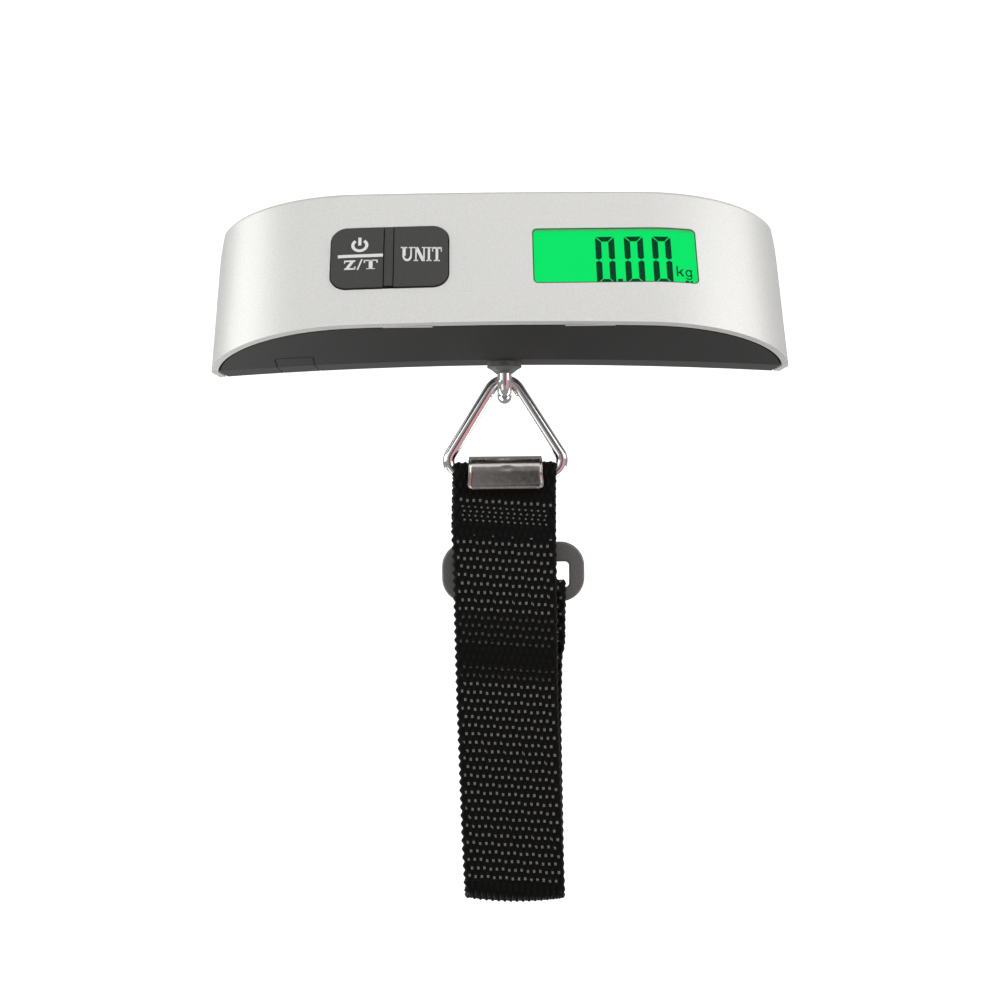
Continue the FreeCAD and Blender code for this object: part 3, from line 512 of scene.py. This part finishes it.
def make_display_ink():
    """Digits, point and unit, on the lit layer."""
    shapes = [shape for left in DIGIT_LEFTS for shape in digit_zero(left)]
    shapes.append(bar(28.95, DIGIT_LOW + 0.75, 30.15, DIGIT_LOW + 1.45))
    shapes += lettered("kg", 43.4, 13.65, (2.1, 1.9), 2.2, 0.15)
    shapes.append(bar(45.6, 12.0, 46.5, 12.5))
    shapes.append(bar(46.9, 12.0, 47.4, 12.5))
    front, back = (FILM_DEPTH - out for out in INK_OUT)
    slabs("display_digits", shapes, front, back, "ink", "case", "lcd_glass", arched=False)


# ---------------------------------------------------------------- webbing

WARPS = 32           # yarns that run along the strap
ROW = 2.12           # half the length in which a yarn goes down and comes up again
HALF_THICK = 0.55    # from the band's middle to the feet of its yarns
RELIEF = 0.34        # how far the top of a yarn stands above its foot
ROW_SLOPE = -0.075   # slant of the rows of floats
CREST_LIFT = 0.93    # a yarn gets the painted highlight where it is lifted more than this
EDGE_ROUND = 1.1     # yarns over which the band's edges are rounded
EDGE_PLAIN = 1.05    # yarns at the edges that get no painted highlight
TOOTH_LEFT, TOOTH_RIGHT = -0.55, 0.25
TOOTH_YARNS = 1.6
HANG_OVER = 4.0
HANG_MIDDLE = 1.12
PLAIN, DIM_HIGHLIGHT = 0, 2   # what the crests in a zone are made of: the plain web with no painted highlight, or the dimmer painted highlight


def weave(across, along):
    """How high each spot of the woven face stands, 0 to 1, and which spots are crests of floats, which
    get the painted highlight.
    """
    place = across * WARPS
    warp = np.floor(np.clip(place, 0, WARPS - 1e-6))
    offset = (place - warp - 0.5) * 2
    lift = 0.5 + 0.5 * np.cos(2 * np.pi * (along / (2 * ROW) + 0.5 * (warp % 2)))
    yarn = np.sqrt(np.clip(1 - (offset * 0.93) ** 2, 0, 1))
    return (0.10 + 0.90 * lift ** 1.5) * yarn, lift > CREST_LIFT


def even_line(spine, step):
    """Distances along a line of (x, y, z, width) points, and the line at those distances."""
    spine = np.array(spine, float)
    gaps = np.linalg.norm(np.diff(spine[:, :3], axis=0), axis=1)
    reach = np.concatenate([[0], np.cumsum(gaps)])
    along = np.linspace(0, reach[-1], max(int(reach[-1] / step), 8))
    line = np.stack([np.interp(along, reach, spine[:, axis]) for axis in range(4)], axis=1)
    return along, line


def left_of(line):
    """The direction in the YZ plane to the left of the line, at each of its points."""
    heading = np.gradient(line[:, 1:3], axis=0)
    heading /= np.linalg.norm(heading, axis=1)[:, None]
    return np.stack([heading[:, 1], -heading[:, 0]], axis=1)


def edge_teeth(across, rows_at, edge):
    """How far each row pushes the band's edges sideways."""
    tooth = (0.5 + 0.5 * np.cos(2 * np.pi * rows_at / ROW)) ** 0.8
    side = np.where(across < 0.5, TOOTH_LEFT, TOOTH_RIGHT)
    return side * tooth * np.clip(1 - edge / TOOTH_YARNS, 0, 1)


def band_sides(line, across, rows_at, sag):
    """The face and the back of the band: for each its points, and where its crests are."""
    edge = np.minimum(across, 1 - across) * WARPS
    round_off = np.sqrt(np.clip(1 - (1 - np.clip(edge / EDGE_ROUND, 0, 1)) ** 2, 0, 1))
    middle, y, z, width = (line[:, axis][:, None] for axis in range(4))
    x = middle + (across - 0.5) * width + edge_teeth(across, rows_at, edge)
    hang = sag * np.clip((SPLIT_Z - z) / HANG_OVER, 0, 1)
    hang = hang * (1 - (2 * across - HANG_MIDDLE) ** 2)
    normal = left_of(line)
    sides = []
    for side, phase in ((1, 0), (-1, ROW)):
        lift, crest = weave(across, rows_at + phase)
        height = side * (HALF_THICK + RELIEF * lift) * round_off
        points = np.stack([x, y + normal[:, :1] * height, z + normal[:, 1:] * height - hang],
                          axis=2)
        sides.append((points, crest & (edge > EDGE_PLAIN)))
    return sides


def round_band(face, back):
    """Columns of the face, and then those of the back the other way: once round the band."""
    return np.concatenate([face, back[:, -2:0:-1]], axis=1)


def painted_highlight_materials(crests, course, zones):
    """The number of the material of each quad round the band: 1, the painted highlight, where two
    crest spots meet, and in the zones the plain web or the dimmer painted highlight instead.
    """
    looks = (crests & np.roll(crests, -1, axis=1)).astype(int)
    for start, end, kind in zones:
        stretch = (course >= start) & (course <= end)
        looks[stretch] = looks[stretch] * kind
    return looks[:-1].reshape(-1)


def end_faces(rows, around, columns):
    """Faces that close the two ends of the band."""
    faces = []
    for first in (0, (rows - 1) * around):
        for column in range(columns - 1):
            quad = (first + column, first + column + 1, first + around - column - 1,
                    first + (around - column) % around)
            quad = tuple(dict.fromkeys(quad))
            faces.append(quad[::-1] if first else quad)
    return faces


def webbing(name, spine, body, start_length, step=0.36, fine=4, zones=(), sag=0.0):
    """A woven band along a line of (x, y, z, width) points in mm; its face is on the line's left.

    Crests of the floats are given a paler material, a painted highlight.  Each zone is a stretch of
    the line, its start, its end and the number of the material that its crests take instead.
    """
    along, line = even_line(spine, step)
    columns = WARPS * fine + 1
    length, across = np.meshgrid(along + start_length, np.linspace(0, 1, columns), indexing="ij")
    rows_at = length + ROW_SLOPE * (across - 0.5) * line[:, 3][:, None]
    (face, face_crests), (back, back_crests) = band_sides(line, across, rows_at, sag)
    ring = round_band(face, back) * MM
    rows, around = ring.shape[:2]
    faces = grid_faces(rows, around, wrap_columns=True) + end_faces(rows, around, columns)
    piece = make_piece(name, ring.reshape(-1, 3), faces, "web", body)
    # The crests' materials: the pale painted highlight and the dimmer painted highlight.
    piece.data.materials.append(LOOKS["crest"])
    piece.data.materials.append(LOOKS["dull_crest"])
    looks = painted_highlight_materials(round_band(face_crests, back_crests),
                            round_band(rows_at, rows_at) - start_length, zones)
    looks = np.concatenate([looks, np.zeros(len(piece.data.polygons) - len(looks), int)])
    piece.data.polygons.foreach_set("material_index", looks)
    return piece


# ---------------------------------------------------------------- strap

def arc_points(y, z, radius, start, end, steps):
    """Points of an arc in the YZ plane; angles in degrees from +Y towards +Z."""
    return [(y + radius * math.cos(math.radians(start + (end - start) * i / steps)),
             z + radius * math.sin(math.radians(start + (end - start) * i / steps)))
            for i in range(steps + 1)]


def strap_shape(z):
    """The hanging strap's middle and width at a height: it drifts right and narrows downwards."""
    levels = (-144.0, -130.0, -93.0, -66.0, -50.0, -40.0, -34.0)
    middles = (2.35, 1.85, 0.95, 0.75, 0.55, 0.75, 0.95)
    widths = (24.9, 25.2, 25.4, 25.9, 26.2, 26.0, 25.9)
    return float(np.interp(z, levels, middles)), float(np.interp(z, levels, widths))


LAYER = 0.72
FRONT_Y = ring_y - LAYER
TAIL_Y = ring_y + LAYER
TAIL_END = -50.0
BAR_TURN = ring_wire + 0.85
FOLD_Y = (fold_low.y + fold_high.y) / 2 / MM
FOLD_TOP = fold_high.z / MM
FOLD_R = FOLD_Y - FRONT_Y
BACK_Y = FOLD_Y + FOLD_R
SPLIT_Z = FOLD_TOP + 1.5
END_TURN = 3.15
END_SKIN = 0.7
END_Y = lower_high.y / MM - END_TURN - END_SKIN
END_Z = lower_high.z / MM - END_TURN - END_SKIN
SEWN_END = -79.5
BACK_WIDTH = 25.1


def path_length(spine):
    return sum(math.dist(start[:3], end[:3]) for start, end in zip(spine, spine[1:]))


def length_to(spine, level):
    """How far along the line the front run first comes down to a height."""
    for index, point in enumerate(spine):
        if point[1] < ring_y and point[2] < level:
            return path_length(spine[:index + 1])
    return path_length(spine)


def make_upper_strap():
    """Tail, turn over the ring's bar and the front run."""
    path = [(TAIL_Y, TAIL_END), (TAIL_Y, bar_z - 4.6), (ring_y + BAR_TURN * 0.92, bar_z - 1.6)]
    path += arc_points(ring_y, bar_z, BAR_TURN, -5, 185, 18)
    path += [(ring_y - BAR_TURN * 0.92, bar_z - 1.6), (FRONT_Y, bar_z - 4.6)]
    path += [(FRONT_Y, z) for z in np.arange(bar_z - 5.0, SPLIT_Z, -0.5)] + [(FRONT_Y, SPLIT_Z)]
    spine = [(strap_shape(z)[0], y, z, strap_shape(z)[1]) for y, z in path]
    # Stretches of the front run whose crests get no painted highlight, or the dimmer painted
    # highlight.
    bands = ((-44.0, -51.5, PLAIN), (-72.0, -79.0, DIM_HIGHLIGHT), (-79.0, -85.0, PLAIN),
             (-85.0, -88.0, DIM_HIGHLIGHT))
    zones = [(0, length_to(spine, -41.0), PLAIN)]
    zones += [(length_to(spine, top), length_to(spine, foot), kind) for top, foot, kind in bands]
    piece = webbing("upper_webbing", spine, "strap_upper", 0.0, zones=zones)
    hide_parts("strap_front")
    return path_length(spine)


def back_middle(z):
    """Middle of the back run: it drifts right towards the buckle and steps out at its sewn end."""
    levels = (-144.0, -100.0, -83.0, -80.0, -64.0)
    return float(np.interp(z, levels, (2.35, 2.1, 2.6, 3.3, 3.6)))


def make_fold(reach):
    """The bottom fold between the two runs."""
    path = [(FRONT_Y, SPLIT_Z), (FRONT_Y, FOLD_TOP)]
    path += arc_points(FOLD_Y, FOLD_TOP, FOLD_R, 180, 360, 24)[1:]
    path += [(BACK_Y, SPLIT_Z)]
    spine = []
    for y, z in path:
        share = min(max((y - FRONT_Y) / (BACK_Y - FRONT_Y), 0), 1)
        middle = strap_shape(z)[0] * (1 - share) + back_middle(z) * share
        spine.append((middle, y, z, strap_shape(z)[1]))
    length = path_length(spine)
    piece = webbing("fold_webbing", spine, None, reach, step=0.2, zones=[(0, length, PLAIN)],
                    sag=0.9)
    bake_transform(piece)
    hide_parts("strap_fold")
    return reach + length


def make_lower_strap(reach):
    """Back run, turn round the buckle's lower bar and the sewn end."""
    path = [(BACK_Y, z) for z in np.arange(SPLIT_Z, END_Z - 6.0, 0.5)]
    path += [(END_Y + END_TURN * 0.9, END_Z - 2.0)]
    path += arc_points(END_Y, END_Z, END_TURN, 0, 180, 18)
    path += [(END_Y - END_TURN * 0.9, END_Z - 2.0), (END_Y - LAYER, END_Z - 6.0)]
    path += [(END_Y - LAYER, z) for z in np.linspace(END_Z - 7.0, SEWN_END, 12)]
    spine = [(back_middle(z), y, z, BACK_WIDTH) for y, z in path]
    piece = webbing("lower_webbing", spine, "strap_lower", reach, fine=3)
    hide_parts("strap_back")


# ---------------------------------------------------------------- stitches

STITCH_PITCH = 0.8
STITCH_LONG = 0.68
STITCH_HIGH = 0.60
STITCH_OUT = 0.30
STITCH_SUNK = 0.1
STITCH_REACH = 10.6
STITCH_ROWS = 4
STITCH_RING = ((0.0, 1.0), (0.7, 0.7), (1.0, 0.0), (0.7, -0.7), (0.0, -1.0), (-0.7, -0.7),
               (-1.0, 0.0), (-0.7, 0.7))
STITCH_LAYERS = ((-STITCH_SUNK, 1.0), (STITCH_OUT * 0.7, 0.85), (STITCH_OUT, 0.4))
STITCH_FOOT = HALF_THICK + 0.05


def one_stitch(x, y, z, outward):
    """Points and faces of a low, rounded stitch on the webbing."""
    count = len(STITCH_RING)
    points = [Vector((x + px * size * STITCH_LONG / 2, y + outward * out,
                      z + pz * size * STITCH_HIGH / 2)) * MM
              for out, size in STITCH_LAYERS for px, pz in STITCH_RING]
    faces = grid_faces(len(STITCH_LAYERS), count, wrap_columns=True)
    faces += [tuple(range(count)), tuple(range(2 * count, 3 * count))]
    return points, faces


def make_stitches(name, node, body, middle, faces_y, levels):
    """Rows of short stitches through the doubled webbing, seen on both of its faces."""
    points, faces = [], []
    for face_y, outward in faces_y:
        for row in range(STITCH_ROWS):
            level = levels[0] + (levels[1] - levels[0]) * row / (STITCH_ROWS - 1)
            shift = STITCH_PITCH / 2 * (row % 2)
            for x in np.arange(-STITCH_REACH + shift, STITCH_REACH + 0.1, STITCH_PITCH * 2):
                more, sides = one_stitch(middle + x, face_y, level + ROW_SLOPE * x, outward)
                faces += [tuple(index + len(points) for index in side) for side in sides]
                points += more
    # The stitches take the pale painted-highlight material of the crests, standing in for the shine on
    # them.
    piece = make_piece(name, points, faces, "crest", body)
    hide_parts(node)


def make_all_stitches():
    make_stitches("tail_thread", "tail_stitches", "strap_upper", strap_shape(-46)[0],
                  ((FRONT_Y - STITCH_FOOT, -1), (TAIL_Y + STITCH_FOOT, 1)), (-44.6, -48.0))
    make_stitches("end_thread", "end_stitches", "strap_lower", back_middle(-76),
                  ((END_Y - LAYER - STITCH_FOOT, -1), (BACK_Y + STITCH_FOOT, 1)), (-74.5, -78.0))


# ---------------------------------------------------------------- clip, bush, buckle

CLIP_RADIUS = 3.6
CLIP_TOP = 4.5
CLIP_LEAF = 3.9
CLIP_TIP_IN = 0.6
CLIP_HALF_TOP = 9.25
CLIP_HALF_LOW = 9.7
CLIP_CORNER = 1.5
CLIP_COLUMNS = 75
CLIP_SHEET = 0.45
LIP_OUT = 0.34
LIP_WIDE = 0.6
MOON_MIDDLE = (0.4, 1.2)
MOON_HALF = (1.9, 0.45)
MOON_DEEP = 0.16


def clip_profile():
    """The clip's section as (y, z): front leaf, tall half round, rear leaf."""
    leaf = []
    for index in range(15):
        share = index / 14
        leaf.append((CLIP_RADIUS - CLIP_TIP_IN * (1 - share) ** 1.5, -CLIP_LEAF * (1 - share)))
    dome = [(CLIP_RADIUS * math.cos(math.radians(a)), CLIP_TOP * math.sin(math.radians(a)))
            for a in range(175, 0, -5)]
    section = [(-y, z) for y, z in leaf] + dome + leaf[::-1]
    return [(ring_y + y, bar_z + z) for y, z in section]


def clip_relief(x, rise, half, in_front):
    """How far the leaf's skin stands out: a turned-out lip at its free edges and a pressed moon."""
    if not in_front:
        return 0.0
    inset = min(half - abs(x), rise + CLIP_LEAF)
    out = LIP_OUT * (1 - inset / LIP_WIDE) if inset < LIP_WIDE else 0.0
    moon = sum(((at - middle) / half) ** 2
               for at, middle, half in zip((x, rise), MOON_MIDDLE, MOON_HALF))
    if moon < 1:
        out -= MOON_DEEP * math.sqrt(1 - moon)
    return out


def clip_half_width(above):
    """Half of the clip's width at a height above its free edge; its lower corners are rounded."""
    half = CLIP_HALF_LOW + (CLIP_HALF_TOP - CLIP_HALF_LOW) * min(above / CLIP_LEAF, 1.0)
    if above < CLIP_CORNER:
        half -= CLIP_CORNER - math.sqrt(max(CLIP_CORNER ** 2 - (CLIP_CORNER - above) ** 2, 0))
    return half


def make_clip():
    """Sheet clip over the strap, with rounded lower corners."""
    profile = clip_profile()
    points = []
    for y, z in profile:
        rise = z - bar_z
        half = clip_half_width(rise + CLIP_LEAF)
        for across in np.linspace(-1, 1, CLIP_COLUMNS):
            x = half * math.copysign(abs(across) ** 0.9, across)
            out = clip_relief(x, rise, half, y < ring_y)
            points.append(Vector((pull_x + x, y - out, z)) * MM)
    piece = make_piece("chrome_clip", points, grid_faces(len(profile), CLIP_COLUMNS), "sheet",
                       "strap_upper")
    give_thickness(piece, CLIP_SHEET, -1)
    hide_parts("strap_clip")


BUSH_OUTLINE = ((4.32, -7.0), (4.35, -8.2), (4.2, -8.6), (3.8, -8.95), (3.2, -9.4), (2.7, -9.8),
                (2.3, -10.15), (2.05, -10.3), (1.86, -10.3), (1.86, -7.0))
BUSH_STEPS = 72


def make_bush_cup():
    """Thimble under the case round the hook's shank."""
    shank = Vector((pull_x, hook_y, 0))
    points = [(shank + point) * MM for point in lathed(BUSH_OUTLINE, BUSH_STEPS)]
    faces = grid_faces(len(BUSH_OUTLINE), BUSH_STEPS, wrap_columns=True, wrap_rows=True)
    make_piece("bush_cup", points, faces, "cup", "case")


def between(start, end, parts):
    """Points that divide a straight line into equal parts, without its ends."""
    return [(start[0] + (end[0] - start[0]) * part / parts,
             start[1] + (end[1] - start[1]) * part / parts) for part in range(1, parts)]


def rounded_loop(x, z, half_wide, half_high, corner, steps, long_steps=1):
    """Points of a rounded rectangle; its straight sides are divided into long_steps."""
    quarters = []
    for quarter, (sx, sz) in enumerate(((1, 1), (-1, 1), (-1, -1), (1, -1))):
        cx, cz = x + sx * (half_wide - corner), z + sz * (half_high - corner)
        angles = [math.radians(90 * (quarter + step / (steps - 1))) for step in range(steps)]
        quarters.append([(cx + corner * math.cos(angle), cz + corner * math.sin(angle))
                         for angle in angles])
    loop = []
    for points, following in zip(quarters, quarters[1:] + quarters[:1]):
        loop += points + between(points[-1], following[0], long_steps)
    return loop


PLATE_THICK = 1.8
PLATE_SOFT = 0.6
PLATE_FLAT = 0.15
PLATE_ROUND = 6.2
SLOT_LOW, SLOT_HIGH, SLOT_HALF, SLOT_ROUND = -64.9, -58.3, 14.45, 1.1
CORNER_STEPS = 12
HOOK_SHEET = 1.3
HOOK_HALF = 7.0
HOOK_COLUMNS = 9
HOOK_SOFT = 0.3
HOOK_LINE = ((-0.5, -0.7), (2.6, -0.7), (3.7, -1.1), (4.3, -2.0), (4.3, -6.0))


def plate_edge():
    """The plate's edge as (inset, depth): a ring on its flat face, then its rounding from the side in.

    The ring comes next to the side, so that a groove runs round the plate between its roundings.
    """
    quarter = [math.radians(15 * index) for index in range(7)]
    rounding = [(PLATE_SOFT * (1 - math.cos(a)), PLATE_SOFT * (1 - math.sin(a))) for a in quarter]
    return [(PLATE_SOFT + PLATE_FLAT, 0.0)] + rounding


def make_buckle_plate(x):
    """Oval plate with a slot, its edges rounded all round."""
    half_wide = (buckle_high.x - buckle_low.x) / 2 / MM
    half_high = (buckle_high.z - buckle_low.z) / 2 / MM
    z = (buckle_low.z + buckle_high.z) / 2 / MM
    slot_z, slot_half = (SLOT_LOW + SLOT_HIGH) / 2, (SLOT_HIGH - SLOT_LOW) / 2
    front = plate_edge()
    rear = [(inset, PLATE_THICK - depth) for inset, depth in front]
    loops = [(depth, rounded_loop(x, z, half_wide - inset, half_high - inset,
                                  PLATE_ROUND - inset, CORNER_STEPS))
             for inset, depth in front[::-1] + rear]
    loops += [(depth, rounded_loop(x, slot_z, SLOT_HALF + inset, slot_half + inset,
                                   SLOT_ROUND + inset, CORNER_STEPS))
              for inset, depth in rear[::-1] + front]
    points = [Vector((px, buckle_low.y / MM + depth, pz)) * MM
              for depth, loop in loops for px, pz in loop]
    faces = grid_faces(len(loops), len(loops[0][1]), wrap_rows=True, wrap_columns=True)
    plate = make_piece("buckle_oval", points, faces, "gunmetal", "buckle_plate")
    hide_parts("buckle")


def make_buckle_hook(x):
    """Bent sheet behind the top of the plate."""
    back, top = buckle_low.y / MM + PLATE_THICK, buckle_high.z / MM
    strip = [Vector((px, back + out, top + rise)) * MM for out, rise in HOOK_LINE
             for px in np.linspace(x - HOOK_HALF, x + HOOK_HALF, HOOK_COLUMNS)]
    hook = make_piece("buckle_hook", strip, grid_faces(len(HOOK_LINE), HOOK_COLUMNS), "gunmetal",
                      "buckle_plate")
    give_thickness(hook, HOOK_SHEET, 0)
    soften = hook.modifiers.new("edges", "BEVEL")
    soften.width = HOOK_SOFT * MM
    soften.segments = 3


def make_buckle():
    middle_x = (buckle_low.x + buckle_high.x) / 2 / MM
    make_buckle_plate(middle_x)
    make_buckle_hook(middle_x)


# ---------------------------------------------------------------- stage, lights, camera

STUDIO_REACH = 2.5
STUDIO_TOP = 2.2
STUDIO_BEND = 0.8
STUDIO_DROP = 0.45
STUDIO_STEPS = 48
BEND_STEPS = 12
LOOK_AT = (0.0, 0.01, -0.03)
LENS = 54.0
SENSOR = 36.0
CAMERA_PLACE = (-0.00365, -0.35904, -0.05217)
CAMERA_UP, CAMERA_RIGHT, CAMERA_ROLL = 1.473, 0.48, -0.685


def studio_section():
    """The backdrop's section as (radius, z): floor, wall and ceiling, joined by two bends."""
    floor_z = cad_low.z - STUDIO_DROP
    section = [(0.01, floor_z)]
    for middle_z, start in ((floor_z + STUDIO_BEND, -90), (STUDIO_TOP - STUDIO_BEND, 0)):
        section += [(STUDIO_REACH - STUDIO_BEND + y, z)
                    for y, z in arc_points(0, middle_z, STUDIO_BEND, start, start + 90, BEND_STEPS)]
    return section + [(0.01, STUDIO_TOP)]


def add_prop(name, points, faces, material):
    """A mesh of the studio, which isn't part of the object."""
    mesh = bpy.data.meshes.new(name)
    mesh.from_pydata(points, [], faces)
    mesh.materials.append(material)
    prop = bpy.data.objects.new(name, mesh)
    bpy.context.scene.collection.objects.link(prop)
    prop.visible_diffuse = False
    prop.visible_shadow = False
    return prop


def make_stage():
    """White floor that curves up into a round wall and closes overhead; only the camera sees it."""
    material = new_material("backdrop", (0.95, 0.95, 0.95), 0.9, Emission_Color=(1, 1, 1, 1),
                            Emission_Strength=0.95)
    section = studio_section()
    backdrop = add_prop("backdrop", lathed(section, STUDIO_STEPS),
                        grid_faces(len(section), STUDIO_STEPS, wrap_columns=True), material)
    backdrop.data.polygons.foreach_set("use_smooth", [True] * len(backdrop.data.polygons))
    backdrop.visible_glossy = False


def turned_to(target, place, axis):
    return (Vector(target) - Vector(place)).to_track_quat(axis, "Y").to_euler()


def add_area(name, place, size, power, color=(1, 1, 1)):
    light = bpy.data.lights.new(name, "AREA")
    light.shape = "RECTANGLE"
    light.size, light.size_y = size
    light.energy = power
    light.color = color
    lamp = bpy.data.objects.new(name, light)
    lamp.location = place
    lamp.rotation_euler = turned_to(LOOK_AT, place, "-Z")
    bpy.context.scene.collection.objects.link(lamp)
    return lamp


def add_dark_card(name, place, size):
    """A black card that only shiny parts see, where the photographer stands."""
    half_wide, half_high = size[0] / 2, size[1] / 2
    corners = [(x * half_wide, y * half_high, 0) for x, y in ((-1, -1), (1, -1), (1, 1), (-1, 1))]
    material = new_material(name, (0.02, 0.018, 0.017), 1.0)
    card = add_prop(name, corners, [(0, 1, 2, 3)], material)
    card.location = place
    card.rotation_euler = turned_to(LOOK_AT, place, "Z")
    card.visible_camera = False


def make_world():
    world = bpy.data.worlds.new("studio")
    world.use_nodes = True
    background = world.node_tree.nodes["Background"]
    background.inputs["Color"].default_value = (1, 1, 1, 1)
    background.inputs["Strength"].default_value = 0.30
    bpy.context.scene.world = world


def make_lights():
    make_world()
    add_area("top_softbox", (0.05, -0.30, 0.55), (0.9, 0.5), 1.5)
    add_area("left_softbox", (-0.53, -0.04, 0.22), (0.38, 0.50), 1.65)
    add_area("right_softbox", (0.50, -0.20, 0.27), (0.50, 0.50), 1.85)
    warm = add_area("warm_softbox", (0.30, -0.27, -0.12), (0.34, 0.34), 0.16, (1.0, 0.10, 0.13))
    warm.visible_diffuse = False
    streak = add_area("streak_softbox", (-0.36, -0.33, 0.17), (0.24, 0.36), 0.27)
    streak.visible_diffuse = False
    add_area("left_bounce", (-0.42, 0.25, -0.42), (0.5, 0.5), 2.6)
    add_area("right_bounce", (0.47, 0.20, -0.42), (0.4, 0.5), 1.7)
    add_area("low_left_softbox", (-0.35, -0.35, -0.30), (0.3, 0.3), 0.25)
    add_dark_card("photographer", (0.072, -0.44, -0.06), (0.13, 0.30))


def make_camera():
    data = bpy.data.cameras.new("camera")
    data.lens = LENS
    data.sensor_width = SENSOR
    data.clip_start, data.clip_end = 0.01, 20.0
    camera = bpy.data.objects.new("camera", data)
    up_tilt, yaw, roll = (math.radians(angle) for angle in (CAMERA_UP, CAMERA_RIGHT, CAMERA_ROLL))
    forward = Vector((math.sin(yaw) * math.cos(up_tilt), math.cos(yaw) * math.cos(up_tilt),
                      math.sin(up_tilt)))
    right = Vector((math.cos(yaw), -math.sin(yaw), 0))
    up = right.cross(forward)
    rolled_right = math.cos(roll) * right + math.sin(roll) * up
    rolled_up = math.cos(roll) * up - math.sin(roll) * right
    turn = Matrix((rolled_right, rolled_up, -forward)).transposed().to_4x4()
    camera.matrix_world = Matrix.Translation(CAMERA_PLACE) @ turn
    bpy.context.scene.collection.objects.link(camera)
    bpy.context.scene.camera = camera


bpy.context.scene.view_settings.view_transform = "Standard"
dress_nodes()
make_legends()
make_display_film()
make_window_shade_line()
make_display_ink()
length_so_far = make_upper_strap()
length_so_far = make_fold(length_so_far)
make_lower_strap(length_so_far)
make_all_stitches()
make_clip()
make_bush_cup()
make_buckle()
make_stage()
make_lights()
make_camera()
